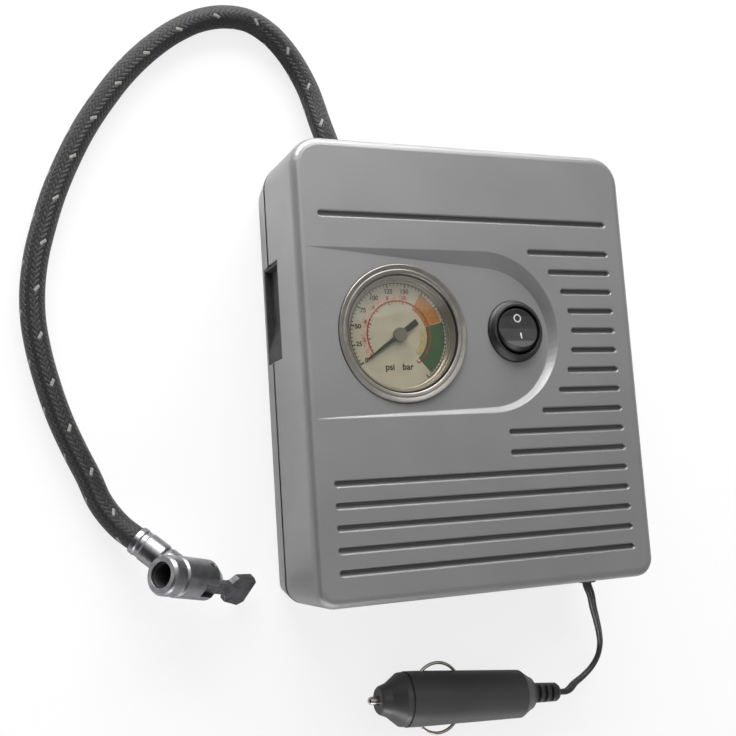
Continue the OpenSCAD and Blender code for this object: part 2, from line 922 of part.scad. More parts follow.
module switch_terminals() {
    color([0.8, 0.78, 0.7])
    translate([switch_x, switch_y, 0])
        for (y = [-5, 5])
            difference() {
                translate([-3.2, y - 0.4, switch_back_z - 8])
                    cube([6.4, 0.8, 11]);
                rod_y(0, switch_back_z - 5, 0.9, y - 2, y + 2);
            }
}

// ---- Motor ----

can_in_r = motor_r - 1.4;
magnet_in_r = can_in_r - 4;
magnet_y = motor_y + 8;
magnet_len = motor_len - 18;
commutator_r = 4.2;
commutator_len = 6.5;

module motor_can() {
    back = motor_y + motor_len;
    color([0.7, 0.71, 0.72])
    difference() {
        union() {
            rod_y(motor_x, drive_z, motor_r, motor_y, back);
            rod_y(motor_x, drive_z, 5.5, motor_y - plate_t + 0.2, motor_y + 1);
        }
        rod_y(motor_x, drive_z, can_in_r, motor_y + 1.4, back + 1);
        rod_y(motor_x, drive_z, shaft_r + running, motor_y - 10, motor_y + 5);
        for (z = [-9, 9])
            rod_y(motor_x, drive_z + z, 1.3, motor_y - 1, motor_y + 3);
    }
}

module motor_magnets() {
    color([0.25, 0.25, 0.27])
    for (a = [-60, 120])
        translate([motor_x, magnet_y, drive_z])
            rotate([-90, 0, 0])
                rotate([0, 0, a])
                    rotate_extrude(angle = 120, $fn = 96)
                        translate([magnet_in_r, 0])
                            square([can_in_r - 0.05 - magnet_in_r, magnet_len]);
}

module motor_endcap() {
    back = motor_y + motor_len;
    color([0.15, 0.15, 0.16])
    difference() {
        union() {
            rod_y(motor_x, drive_z, motor_r - 0.2, back, back + 3);
            rod_y(motor_x, drive_z, can_in_r - 0.1, back - 5, back + 1);
            rod_y(motor_x, drive_z, 4.5, back, back + 6);
        }
        rod_y(motor_x, drive_z, 8, back - 6, back - 2);
        rod_y(motor_x, drive_z, shaft_r + running, back - 8, back + 4.5);
        for (x = [-11, 11])
            translate([motor_x + x - 0.5, back - 8, drive_z - 2.6])
                cube([1, 16, 5.2]);
    }
}

module motor_terminals() {
    back = motor_y + motor_len;
    color([0.82, 0.66, 0.3])
    for (x = [-11, 11])
        translate([motor_x + x - 0.4, back - 10.5, drive_z - 2.4])
            difference() {
                cube([0.8, 21.5, 4.8]);
                translate([-1, 19, 2.4])
                    rotate([0, 90, 0])
                        cylinder(r = 0.9, h = 3);
            }
}

// Carbon brushes between the terminals and the commutator
module motor_brushes() {
    inner = commutator_r + 0.1;
    color([0.1, 0.1, 0.1])
    for (side = [-1, 1])
        translate([motor_x + side * (inner + 10.6) / 2, motor_y + motor_len - 8.5, drive_z])
            cube([10.6 - inner, 3.4, 3], center = true);
}

module motor_shaft() {
    color([0.75, 0.76, 0.78])
    rod_y(motor_x, drive_z, shaft_r, gear_front_y - 0.6, motor_y + motor_len + 4);
}

// Five-slot core with its commutator
module motor_armature() {
    core_r = magnet_in_r - 0.6;
    core_y = [magnet_y + 1, magnet_y + magnet_len - 1];
    color([0.72, 0.4, 0.2])
    difference() {
        union() {
            rod_y(motor_x, drive_z, core_r, core_y[0], core_y[1]);
            rod_y(motor_x, drive_z, commutator_r, core_y[1] - 1, core_y[1] - 1 + commutator_len);
        }
        rod_y(motor_x, drive_z, shaft_r + 0.01, motor_y, motor_y + motor_len);
        for (i = [0:4])
            translate([motor_x, magnet_y, drive_z])
                rotate([0, i * 72, 0])
                    translate([-0.9, 0, 5.5])
                        cube([1.8, magnet_len, 10]);
    }
}

module motor_pinion() {
    color([0.8, 0.66, 0.32])
    translate([motor_x, gear_back_y, drive_z])
        rotate([90, 0, 0])
            difference() {
                linear_extrude(gear_w)
                    rotate([0, 0, 180 + 180 / pinion_teeth])
                        gear_outline(gear_module, pinion_teeth, 0.12);
                translate([0, 0, -1])
                    cylinder(r = shaft_r + 0.01, h = gear_w + 2);
            }
}

module motor_screws() {
    color([0.7, 0.7, 0.72])
    for (z = [-9, 9]) {
        rod_y(motor_x, drive_z + z, 1.25, plate_y - 0.1, motor_y + 1.2);
        rod_y(motor_x, drive_z + z, 1.9, plate_y - 0.8, plate_y);
    }
}

// ---- Compressor ----

// Die-cast bracket: a motor plate, an axle boss, a cylinder wall and two feet
module drive_frame() {
    wall_x0 = sleeve_x - 4;
    top_z = drive_z + head_half - 0.5;
    low_z = drive_z - head_half + 0.5;
    color([0.66, 0.67, 0.68])
    difference() {
        union() {
            translate([wall_x0, plate_y, low_z])
                cube([motor_x - wall_x0 - 4, plate_t, top_z - low_z]);
            rod_y(motor_x, drive_z, motor_r - 0.5, plate_y, motor_y);
            translate([wall_x0, bore_y - head_half + 0.5, low_z])
                cube([4, motor_y - bore_y + head_half - 0.5, top_z - low_z]);
            rod_y(gear_x, drive_z, axle_r + 2.3, plate_y, motor_y + 4);
            for (p = frame_foot_xy)
                frame_foot(p);
        }
        rod_y(motor_x, drive_z, 5.65, plate_y - 2, motor_y + 1);
        rod_y(gear_x, drive_z, axle_r, plate_y - 5, motor_y + 3);
        rod_x(bore_y, drive_z, sleeve_r + 0.02, wall_x0 - 5, wall_x0 + 9);
        for (z = [-9, 9])
            rod_y(motor_x, drive_z + z, 1.45, plate_y - 5, motor_y + 5);
        for (y = [-1, 1], z = [-1, 1])
            rod_x(bore_y + y * head_screw_off, drive_z + z * head_screw_off, 1.3, wall_x0 - 5, wall_x0 + 9);
        for (p = frame_foot_xy)
            translate([p[0], p[1], 0])
                cylinder(r = screw_r + 0.2, h = drive_z);
    }
}

// Foot of the bracket: a pad on its boss and a web up to the plate
module frame_foot(p) {
    translate([p[0], p[1], foot_z])
        cylinder(r = 3.8, h = 2.5);
    translate([p[0] - 3, min(p[1], plate_y + 0.5), foot_z])
        cube([6, abs(p[1] - plate_y) + 0.5, 2.5]);
    translate([p[0] - 3, plate_y, foot_z])
        cube([6, plate_t, drive_z - foot_z - 4]);
}

module frame_screws() {
    color([0.7, 0.7, 0.72])
    for (p = frame_foot_xy) {
        translate([p[0], p[1], wall + 1])
            cylinder(r = screw_r, h = foot_z - wall + 2);
        translate([p[0], p[1], foot_z + 2.5])
            cylinder(r = 2.6, h = 1.6);
    }
}

// Crank gear: rim, web with lightening holes, hub and crank boss
module crank_gear() {
    rim_r = gear_module * gear_teeth / 2 - 3.2;
    color([0.9, 0.89, 0.85])
    translate([gear_x, gear_back_y, drive_z])
        rotate([90, 0, 0])
            difference() {
                union() {
                    difference() {
                        linear_extrude(gear_w)
                            gear_outline(gear_module, gear_teeth, 0.12);
                        for (z = [-1, gear_w / 2 + 1.2])
                            translate([0, 0, z])
                                difference() {
                                    cylinder(r = rim_r, h = gear_w / 2 - 0.2);
                                    translate([0, 0, -1])
                                        cylinder(r = 5.2, h = gear_w);
                                }
                    }
                    translate([crank_r, 0, 0.5])
                        cylinder(r = 4.4, h = gear_w + 0.8);
                }
                translate([0, 0, -1])
                    cylinder(r = axle_r + running, h = gear_w + 4);
                for (i = [1:5])
                    rotate([0, 0, i * 60])
                        translate([(rim_r + 5.2) / 2, 0, -1])
                            cylinder(r = 3, h = gear_w + 2);
            }
}

module gear_axle() {
    color([0.76, 0.77, 0.78])
    rod_y(gear_x, drive_z, axle_r - 0.01, crank_boss_y, motor_y + 3);
}

module connecting_rod() {
    span = rod_len;
    color([0.68, 0.69, 0.7])
    translate([wrist_x, rod_back_y, drive_z])
        rotate([90, 0, 0])
            difference() {
                union() {
                    cylinder(r = 3.6, h = rod_t);
                    translate([span, 0, 0])
                        cylinder(r = 6, h = rod_t);
                    linear_extrude(rod_t)
                        polygon([[0, -2.4], [span, -3.4], [span, 3.4], [0, 2.4]]);
                }
                for (z = [-1, rod_t - 1.2])
                    translate([0, 0, z])
                        linear_extrude(2.2)
                            polygon([[5.5, -1.2], [span - 8, -1.8], [span - 8, 1.8], [5.5, 1.2]]);
                translate([0, 0, -1])
                    cylinder(r = 1.5 + running, h = rod_t + 2);
                translate([span, 0, -1])
                    cylinder(r = bush_r + 0.01, h = rod_t + 2);
            }
}

module big_end_bush() {
    color([0.8, 0.62, 0.3])
    difference() {
        rod_y(crank_x, drive_z, bush_r, rod_back_y - rod_t, rod_back_y);
        rod_y(crank_x, drive_z, crank_pin_r + 0.01, rod_back_y - rod_t - 1, rod_back_y + 1);
    }
}

// Crank pin, carried in the rod's bush; it stops just short of the gear's boss
module crank_pin() {
    color([0.76, 0.77, 0.78])
    rod_y(crank_x, drive_z, crank_pin_r, rod_back_y - rod_t - 0.6, crank_boss_y - slack);
    color([0.76, 0.77, 0.78])
    rod_y(crank_x, drive_z, crank_pin_r + 1, rod_back_y - rod_t - 1.4, rod_back_y - rod_t - 0.3);
}

module piston() {
    color([0.78, 0.79, 0.8])
    difference() {
        translate([wrist_x, bore_y, drive_z])
            turned_x([
                [-piston_crown, 0], [-piston_crown, piston_r - 0.4], [-piston_crown + 0.4, piston_r],
                [-piston_crown + 1.6, piston_r], [-piston_crown + 1.6, piston_r - 1.2],
                [-piston_crown + 3.6, piston_r - 1.2], [-piston_crown + 3.6, piston_r],
                [piston_skirt, piston_r], [piston_skirt, 0]
            ]);
        translate([wrist_x - 3.9, bore_y - rod_t / 2 - slack, drive_z - 5])
            cube([20, rod_t + 2 * slack, 10]);
        rod_y(wrist_x, drive_z, 1.51, bore_y - 10, bore_y + 10);
    }
}

module piston_pin() {
    color([0.75, 0.75, 0.77])
    rod_y(wrist_x, drive_z, 1.5, bore_y - 7, bore_y + 7);
}

module piston_ring() {
    color([0.1, 0.1, 0.1])
    translate([wrist_x, bore_y, drive_z])
        turned_x([
            [-piston_crown + 1.7, piston_r - 1.15], [-piston_crown + 3.5, piston_r - 1.15],
            [-piston_crown + 3.5, bore_r - 0.04], [-piston_crown + 1.7, bore_r - 0.04]
        ]);
}

// Finned cylinder sleeve
module cylinder_sleeve() {
    fins = 5;
    color([0.72, 0.73, 0.74])
    difference() {
        union() {
            rod_x(bore_y, drive_z, sleeve_r, head_x, sleeve_x);
            for (i = [0:fins - 1])
                rod_x(bore_y, drive_z, fin_r, head_x + i * 3, head_x + i * 3 + 1.4);
        }
        rod_x(bore_y, drive_z, bore_r, head_x - 1, sleeve_x + 1);
    }
}

module cylinder_head() {
    y0 = bore_y - head_half;
    color([0.62, 0.63, 0.64])
    difference() {
        union() {
            translate([head_x - head_t, y0, drive_z - head_half])
                cube([head_t, 2 * head_half, 2 * head_half]);
            for (z = [gauge_port_z, supply_port_z])
                translate([port_x, port_y, z]) {
                    rod_y(0, 0, 3.4, -1, 2);
                    barb(2, 1);
                }
        }
        for (y = [-1, 1], z = [-1, 1])
            rod_x(bore_y + y * head_screw_off, drive_z + z * head_screw_off, 1.45,
                  head_x - head_t - 1, head_x + 1);
        rod_x(bore_y, drive_z, 4.2, head_x - head_t + 2.5, head_x - 1.4);
        rod_x(bore_y, drive_z, 1.6, head_x - 3, head_x + 1);
        for (z = [gauge_port_z, supply_port_z])
            rod_y(port_x, z, 1.1, bore_y, port_y + 15);
        translate([port_x - 1.1, bore_y - 1, supply_port_z])
            cube([2.2, 2.2, gauge_port_z - supply_port_z]);
    }
}

module head_screws() {
    x0 = head_x - head_t;
    color([0.4, 0.4, 0.42])
    for (y = [-1, 1], z = [-1, 1]) {
        rod_x(bore_y + y * head_screw_off, drive_z + z * head_screw_off, 1.25,
              x0 - 0.1, sleeve_x - 0.5);
        rod_x(bore_y + y * head_screw_off, drive_z + z * head_screw_off, 2.4, x0 - 2, x0);
    }
}

// Disc valve over the head's port, and the spring that seats it
module outlet_valve() {
    color([0.12, 0.12, 0.12])
    rod_x(bore_y, drive_z, 3.2, head_x - 2.6, head_x - 1.5);
}

module valve_spring() {
    turns = 4;
    steps = 8 * turns;
    span = head_t - 2.5 - 2.6 - 0.8;
    path = [
        for (i = [0:steps])
            let (a = i * 45)
                [head_x - 3.1 - span * i / steps, bore_y + 2.1 * cos(a), drive_z + 2.1 * sin(a)]
    ];
    color([0.75, 0.76, 0.78])
    coil(path, 0.3, 6);
}

// Spring wire: rings stand square to a path that winds about the X axis
function coil_ring(path, i, r, sides) =
    let (t = along(path, i))
    let (side = unit(cross(t, [1, 0, 0])))
    let (up = cross(side, t))
        [for (k = [0:sides - 1])
            path[i] + r * (side * cos(k * 360 / sides) + up * sin(k * 360 / sides))];

module coil(path, r, sides) {
    n = len(path);
    points = [for (i = [0:n - 1]) each coil_ring(path, i, r, sides)];
    walls = [
        for (i = [0:n - 2], k = [0:sides - 1])
            let (a = i * sides + k)
            let (b = i * sides + (k + 1) % sides)
                each [[a, a + sides, b], [b, a + sides, b + sides]]
    ];
    last_at = (n - 1) * sides;
    first = [for (k = [1:sides - 2]) [0, k, k + 1]];
    last = [for (k = [1:sides - 2]) [last_at, last_at + k + 1, last_at + k]];
    polyhedron(points, concat(walls, first, last), convexity = 8);
}

// ---- Air line ----

// Route from the head's barb to the gauge's, run on past both ends for the bore
function gauge_route(past) = [
    [port_x, port_y + 2 - past, stem_z], [port_x, port_y + 2 + barb_len, stem_z],
    [gauge_x, gauge_stem_y - barb_len, stem_z], [gauge_x, gauge_stem_y + past, stem_z]
];

module gauge_tube() {
    color([0.2, 0.2, 0.22])
    difference() {
        swept(gauge_route(0), tube_r, tube_r, 12, 0);
        swept(gauge_route(1), tube_in_r, tube_in_r, 12, 0);
    }
}

supply_route = [
    [port_x, port_y + 2, supply_port_z], [port_x, port_y + 22, supply_port_z],
    [port_x - 1, -12, 14.4], [hose_x + 1, 36, 11], [hose_x, 50, hose_z],
    [hose_x, fitting_y - 4, hose_z]
];

// Supply tube: a gentle run with both ends bored over their barbs
module supply_tube() {
    color([0.22, 0.22, 0.24])
    difference() {
        swept(supply_route, tube_r, tube_r, 12, 0);
        rod_y(port_x, supply_port_z, tube_in_r, port_y, port_y + 13);
        rod_y(hose_x, hose_z, tube_in_r, fitting_y - 15, fitting_y + 2);
    }
}

module hose_fitting() {
    color([0.8, 0.66, 0.33])
    translate([hose_x, 0, hose_z])
        union() {
            translate([0, fitting_y, 0])
                rotate([90, 0, 0])
                    cylinder(r = 5, h = 4, $fn = 6);
            barb(fitting_y - 4, -1);
        }
}

gland_neck_r = hose_r + 1;
gland_out_r = hose_r + 2.3;
gland_seat_y = top_y - wall - rear_inset - 0.1;

module hose_gland() {
    inner_y = gland_seat_y - 0.1;
    color([0.09, 0.09, 0.09])
    translate([hose_x, 0, hose_z])
        difference() {
            turned_y([
                [inner_y - 1.6, 0], [inner_y - 1.6, gland_neck_r + 0.9],
                [inner_y, gland_neck_r + 0.9], [inner_y, gland_neck_r],
                [top_y + 0.1, gland_neck_r], [top_y + 0.1, gland_out_r],
                [top_y + 1.6, gland_out_r], [top_y + 5.2, hose_r + 1.1],
                [top_y + 6, hose_r + 0.7], [top_y + 6, 0]
            ]);
            rod_y(0, 0, hose_r + 0.1, fitting_y, top_y + 8);
        }
}

module air_hose() {
    start = [[hose_x, fitting_y, hose_z], [hose_x, top_y + 7, hose_z]];
    finish = [tail_point(tail_root + ferrule_len + 7), tail_point(tail_root + ferrule_len),
              tail_point(tail_root)];
    color([0.16, 0.16, 0.17])
    swept(concat(start, hose_route, finish), hose_r, hose_r, 12, 0);
}

// ---- Air chuck ----

module hose_ferrule() {
    r = hose_r + 0.1;
    crimp_x = tail_root + ferrule_len - 2.4;
    color([0.78, 0.78, 0.8])
    in_tail()
        difference() {
            turned_x([
                [tail_root, 0], [tail_root, r + 0.35], [tail_root + 0.6, r + 0.6],
                [crimp_x - 2, r + 0.6], [crimp_x - 1.4, r + 0.3], [crimp_x, r + 0.3],
                [crimp_x + 0.6, r + 0.6], [tail_root + ferrule_len, r + 0.5],
                [tail_root + ferrule_len, 0]
            ]);
            rod_x(0, 0, r, tail_root - 1, tail_root + ferrule_len + 1);
        }
}

// Cast body: a turned barrel with its mouth at one end, a hose tail at the side
// and a slot for the thumb lever at the other end
module chuck_body() {
    seat = valve_r + 1.3;
    color([0.66, 0.67, 0.69])
    in_chuck()
        difference() {
            union() {
                turned_x([
                    [0, 0], [0, chuck_r - 1.1], [0.4, chuck_r - 0.6], [1.2, chuck_r - 0.2],
                    [4.4, chuck_r - 0.2], [5, chuck_r - 0.7], [6.4, chuck_r - 0.7],
                    [7, chuck_r], [chuck_len - 5, chuck_r], [chuck_len, chuck_r - 3], [chuck_len, 0]
                ]);
                translate([tail_x, 0, 0])
                    rotate([0, 0, 90 + tail_lean])
                        turned_x([[0, 0], [0, hose_r + 0.6], [tail_root - 1.5, hose_r + 0.6],
                                  [tail_root, hose_r], [tail_root, 0]]);
            }
            rod_x(0, 0, seat, 1, 10);
            rod_x(0, 0, valve_r + 0.6, -1, 2);
            rod_x(0, 0, 1.5, 9, pin_x);
            translate([pin_x - 4, -chuck_r - 1, -lever_w / 2 - slack])
                cube([chuck_len, chuck_r + 3.2, lever_w + 2 * slack]);
            translate([pin_x, lever_y + 2.2, -chuck_r - 1])
                cylinder(r = 1.06, h = 2 * chuck_r + 2);
        }
}

module chuck_seal() {
    color([0.05, 0.05, 0.05])
    in_chuck()
        difference() {
            turned_x([[1.1, 0], [1.1, valve_r + 1.2], [9.9, valve_r + 1.2], [9.9, 0]]);
            rod_x(0, 0, valve_r, 0, 9);
            rod_x(0, 0, 1.2, 8, 11);
        }
}

// Thumb lever: cam round the pin, neck, and a wide tab for the thumb
module chuck_lever() {
    root = pin_x + 3;
    tab = chuck_len + lever_reach;
    color([0.6, 0.61, 0.63])
    in_chuck()
        difference() {
            union() {
                translate([pin_x, lever_y + 2.2, -lever_w / 2])
                    cylinder(r = 3, h = lever_w);
                translate([pin_x - 0.6, lever_y - lever_t / 2, -lever_w / 2])
                    cube([chuck_len - pin_x + 5, lever_t, lever_w]);
                translate([0, lever_y + lever_t / 2, 0])
                    rotate([90, 0, 0])
                        linear_extrude(lever_t)
                            polygon([
                                [chuck_len + 3, -lever_w / 2], [chuck_len + 4.2, -2.6],
                                [chuck_len + 5.8, -5.2], [tab - 2.5, -6.2], [tab, -4.4],
                                [tab, 4.4], [tab - 2.5, 6.2], [chuck_len + 5.8, 5.2],
                                [chuck_len + 4.2, 2.6], [chuck_len + 3, lever_w / 2]
                            ]);
            }
            translate([pin_x, lever_y + 2.2, -5])
                cylinder(r = 1.05, h = 10);
        }
}

module lever_pin() {
    color([0.72, 0.73, 0.75])
    in_chuck()
        translate([pin_x, lever_y + 2.2, -chuck_r + 1.2])
            cylinder(r = 1, h = 2 * chuck_r - 2.4);
}

// ---- Power lead and plug ----

grommet_seat_y = end_y + wall + 1.4;

module cord_grommet() {
    color([0.08, 0.08, 0.08])
    translate([lead_x, 0, lead_z])
        difference() {
            turned_y([
                [end_y - 3.4, 0], [end_y - 3.4, 3.4], [end_y - 0.1, 4.9], [end_y - 0.1, 4],
                [grommet_seat_y, 4], [grommet_seat_y, 5.4], [grommet_seat_y + 1.6, 5.4],
                [grommet_seat_y + 1.6, 0]
            ]);
            translate([-lead_w / 2 - 0.1, end_y - 5, -lead_t / 2 - 0.1])
                cube([lead_w + 0.2, 20, lead_t + 0.2]);
        }
}

module power_cord() {
    start = [[lead_x, grommet_seat_y + 1.6, lead_z], [lead_x, end_y - 4, lead_z]];
    finish = [plug_point([plug_len + 4, 0, 0]), plug_point([plug_len, 0, 0])];
    color([0.12, 0.12, 0.12])
    swept(concat(start, lead_route, finish), lead_w / 2, lead_t / 2, 8, 90);
}

// Ribbed boot at the plug's rear
module plug_boot() {
    ribs = 3;
    r = 3.9;
    color([0.1, 0.1, 0.1])
    in_plug()
        difference() {
            union() {
                turned_x([
                    [barrel_end_x, 0], [barrel_end_x, r], [plug_len - 1, r - 0.3],
                    [plug_len - 0.6, r - 0.6], [plug_len, r - 1], [plug_len, 0]
                ]);
            }
            for (i = [0:ribs - 1], side = [-1, 1])
                translate([barrel_end_x + 2.4 + i * 3, -5, side > 0 ? 2 : -6])
                    cube([1.3, 10, 4]);
        }
}

module plug_body() {
    color([0.12, 0.12, 0.12])
    in_plug()
        difference() {
            turned_x([
                [barrel_x, 0], [barrel_x, plug_r], [barrel_x + straight_len, plug_r],
                [barrel_end_x - 5, plug_rear_r], [barrel_end_x - 1, 6.6], [barrel_end_x, 6.2],
                [barrel_end_x, 0]
            ]);
            rod_x(0, 0, 3.6, barrel_x - 1, barrel_x + 32);
            for (side = [-1, 1])
                translate([bow_x - 1, side > 0 ? slot_y : -20, -wire_r - 0.25])
                    cube([bow_len + 2, 20 - slot_y, 2 * wire_r + 0.5]);
        }
}

// Screwed nose cap with its stepped cone
module plug_nose() {
    color([0.14, 0.14, 0.14])
    in_plug()
        difference() {
            turned_x([
                [nose_x, 0], [nose_x, 4.6], [nose_x + 0.6, 5.2], [nose_x + 3.6, 6.3],
                [nose_x + 8.4, plug_r - 0.4], [barrel_x - 0.8, plug_r - 0.2],
                [barrel_x, plug_r - 0.5], [barrel_x, 0]
            ]);
            rod_x(0, 0, 1.65, 0, nose_x + 3);
            rod_x(0, 0, 3.6, nose_x + 2.4, barrel_x + 1);
        }
}

module plug_tip() {
    color([0.8, 0.8, 0.78])
    in_plug()
        turned_x([
            [0, 0], [0.25, 0.8], [0.8, 1.3], [1.6, 1.5], [nose_x + 2.8, 1.5],
            [nose_x + 2.8, 3.2], [nose_x + 4.4, 3.2], [nose_x + 4.4, 0]
        ]);
}

fuse_x = nose_x + 8.5 + tip_travel;
module plug_fuse() {
    color([0.85, 0.85, 0.86])
    in_plug()
        turned_x([
            [fuse_x, 0], [fuse_x, 3.1], [fuse_x + 5, 3.1], [fuse_x + 5, 2.8],
            [fuse_x + 25, 2.8], [fuse_x + 25, 3.1], [fuse_x + 31, 3.1], [fuse_x + 31, 0]
        ]);
}

module plug_spring() {
    turns = 4;
    steps = 8 * turns;
    x0 = nose_x + 4.8;
    span = fuse_x - x0 - 0.5;
    path = [
        for (i = [0:steps])
            let (a = i * 45)
                [x0 + span * i / steps, 2.4 * cos(a), 2.4 * sin(a)]
    ];
    color([0.75, 0.76, 0.78])
    in_plug()
        coil(path, 0.3, 6);
}

// Side contact: a bowed wire with two legs that slide in a slot of the barrel
module plug_contact(side) {
    foot_y = 6.6;
    base_y = plug_r - 1.2;
    sag = plug_r + bow_out - wire_r - base_y;
    bow_r = (bow_len * bow_len / 4 + sag * sag) / (2 * sag);
    half = asin(bow_len / 2 / bow_r);
    color([0.78, 0.78, 0.8])
    in_plug()
        mirror([0, side < 0 ? 1 : 0, 0])
            union() {
                translate([bow_x + bow_len / 2, base_y + sag - bow_r, 0])
                    rotate([0, 0, 90 - half])
                        rotate_extrude(angle = 2 * half, $fn = 64)
                            translate([bow_r, 0])
                                circle(r = wire_r);
                for (x = [bow_x, bow_x + bow_len])
                    rod_y(x, 0, wire_r + 0.05, foot_y, base_y + 0.4);
            }
}

module plug_contact_upper() {
    plug_contact(1);
}

module plug_contact_lower() {
    plug_contact(-1);
}

front_shell();
rear_shell();
case_screws();
side_grip();
gauge_case();
gauge_bezel();
gauge_lens();
gauge_dial();
gauge_needle();
gauge_movement();
gauge_sector();
bourdon_tube();
gauge_stem();
switch_housing();
switch_rocker();
switch_terminals();
motor_can();
motor_magnets();
motor_endcap();
motor_terminals();
motor_brushes();
motor_shaft();
motor_armature();
motor_pinion();
motor_screws();
drive_frame();
frame_screws();
crank_gear();
gear_axle();
connecting_rod();
big_end_bush();
crank_pin();
piston();
piston_pin();
piston_ring();
cylinder_sleeve();
cylinder_head();
head_screws();
outlet_valve();
valve_spring();
gauge_tube();
supply_tube();
hose_fitting();
hose_gland();
air_hose();
hose_ferrule();
chuck_body();
chuck_seal();
chuck_lever();
lever_pin();
cord_grommet();
power_cord();
plug_boot();
plug_body();
plug_nose();
plug_tip();
plug_spring();
plug_fuse();
plug_contact_upper();
plug_contact_lower();
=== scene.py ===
import math

import bmesh
import bpy
from mathutils import Matrix, Vector
from mathutils.bvhtree import BVHTree


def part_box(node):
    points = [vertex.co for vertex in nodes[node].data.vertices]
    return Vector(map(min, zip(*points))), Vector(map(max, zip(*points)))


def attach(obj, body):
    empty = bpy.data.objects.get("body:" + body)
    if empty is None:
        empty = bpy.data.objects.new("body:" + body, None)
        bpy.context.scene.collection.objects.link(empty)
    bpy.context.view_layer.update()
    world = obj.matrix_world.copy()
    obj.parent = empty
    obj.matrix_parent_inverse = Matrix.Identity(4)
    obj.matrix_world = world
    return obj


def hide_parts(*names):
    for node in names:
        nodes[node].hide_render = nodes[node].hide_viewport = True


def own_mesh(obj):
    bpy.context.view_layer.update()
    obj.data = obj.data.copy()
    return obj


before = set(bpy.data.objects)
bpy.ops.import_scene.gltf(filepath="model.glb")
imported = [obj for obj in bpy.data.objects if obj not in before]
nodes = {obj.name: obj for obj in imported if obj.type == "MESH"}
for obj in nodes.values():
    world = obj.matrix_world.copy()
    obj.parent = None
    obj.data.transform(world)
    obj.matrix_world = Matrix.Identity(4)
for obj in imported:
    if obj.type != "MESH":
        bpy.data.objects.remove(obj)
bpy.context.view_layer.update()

mm = 0.001
print("frame loaded,", len(nodes), "nodes")


def srgb(hexText):
    # sRGB hex to the linear colour that a socket takes
    parts = [int(hexText[i:i + 2], 16) / 255 for i in (1, 3, 5)]
    return [p / 12.92 if p <= 0.04045 else ((p + 0.055) / 1.055) ** 2.4 for p in parts] + [1.0]


def addNode(tree, kind, links=None, **settings):
    # one shader node: settings are its options, links feed its inputs from sockets or plain values
    node = tree.nodes.new("ShaderNode" + kind)
    for key, value in settings.items():
        setattr(node, key, value)
    for key, value in (links or {}).items():
        if isinstance(value, bpy.types.NodeSocket):
            tree.links.new(value, node.inputs[key])
        else:
            node.inputs[key].default_value = value
    return node


camera = {
    "place": (-189.71, -45.04, 390.28),  # mm
    "right": (0.92106, -0.06602, 0.38379),
    "up": (0.01483, 0.99075, 0.13485),
    "lens": 52.37,  # mm of focal length
    "sensor": 36.0,  # mm wide
    "nearest": 10.0,  # mm in front of the lens, where the view begins
}
right = Vector(camera["right"]).normalized()
up = Vector(camera["up"]).normalized()
cameraTurn = Matrix((right, up, right.cross(up))).transposed().to_4x4()
cameraData = bpy.data.cameras.new("camera")
cameraData.lens = camera["lens"]
cameraData.sensor_width = camera["sensor"]
cameraData.clip_start = camera["nearest"] * mm
cameraObject = bpy.data.objects.new("camera", cameraData)
cameraObject.matrix_world = Matrix.Translation(Vector(camera["place"]) * mm) @ cameraTurn
bpy.context.scene.collection.objects.link(cameraObject)
bpy.context.scene.camera = cameraObject
print("camera set")


def addPiece(name, bm, body, look, sharp=40):
    # turns a bmesh into a piece that rides on a body; faces meet sharply above the given angle
    bmesh.ops.recalc_face_normals(bm, faces=bm.faces)
    mesh = bpy.data.meshes.new(name)
    bm.to_mesh(mesh)
    bm.free()
    mesh.polygons.foreach_set("use_smooth", [True] * len(mesh.polygons))
    mesh.set_sharp_from_angle(angle=math.radians(sharp))
    mesh.materials.append(look)
    piece = bpy.data.objects.new(name, mesh)
    bpy.context.scene.collection.objects.link(piece)
    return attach(piece, body)


def onCircle(centre, radius, angle):
    # x and y of a point on a circle, with the angle in radians
    return centre[0] + radius * math.cos(angle), centre[1] + radius * math.sin(angle)


def joinRows(bm, a, b):
    # the four-sided faces between two closed rows of vertices
    after = list(range(1, len(a))) + [0]
    return [bm.faces.new((a[k], a[n], b[n], b[k])) for k, n in enumerate(after)]


def skin(bm, rows, closed=False):
    # joins rows of vertices in turn, then the last to the first, or caps both ends
    for a, b in zip(rows, rows[1:] + (rows[:1] if closed else [])):
        joinRows(bm, a, b)
    if not closed:
        bm.faces.new(rows[0])
        bm.faces.new(rows[-1])


def smoothPath(route, step):
    # a smooth curve through the route's points, as (point, place along the route), about step mm apart
    points = [Vector(p) for p in route]
    gaps = [(b - a).length for a, b in zip(points, points[1:])]
    slopes = [(b - a) / g for a, b, g in zip(points, points[1:], gaps)]
    inner = [(s * h + r * g) / (g + h) for s, r, g, h in zip(slopes, slopes[1:], gaps, gaps[1:])]
    headings = [slopes[0]] + inner + [slopes[-1]]
    samples = []
    for i, gap in enumerate(gaps):
        count = max(1, round(gap / step))
        for k in range(count):
            t = k / count
            samples.append((
                points[i] * (2 * t ** 3 - 3 * t ** 2 + 1) + headings[i] * gap * (t ** 3 - 2 * t ** 2 + t)
                + points[i + 1] * (3 * t ** 2 - 2 * t ** 3) + headings[i + 1] * gap * (t ** 3 - t ** 2),
                i + t))
    return samples + [(points[-1], len(gaps))]


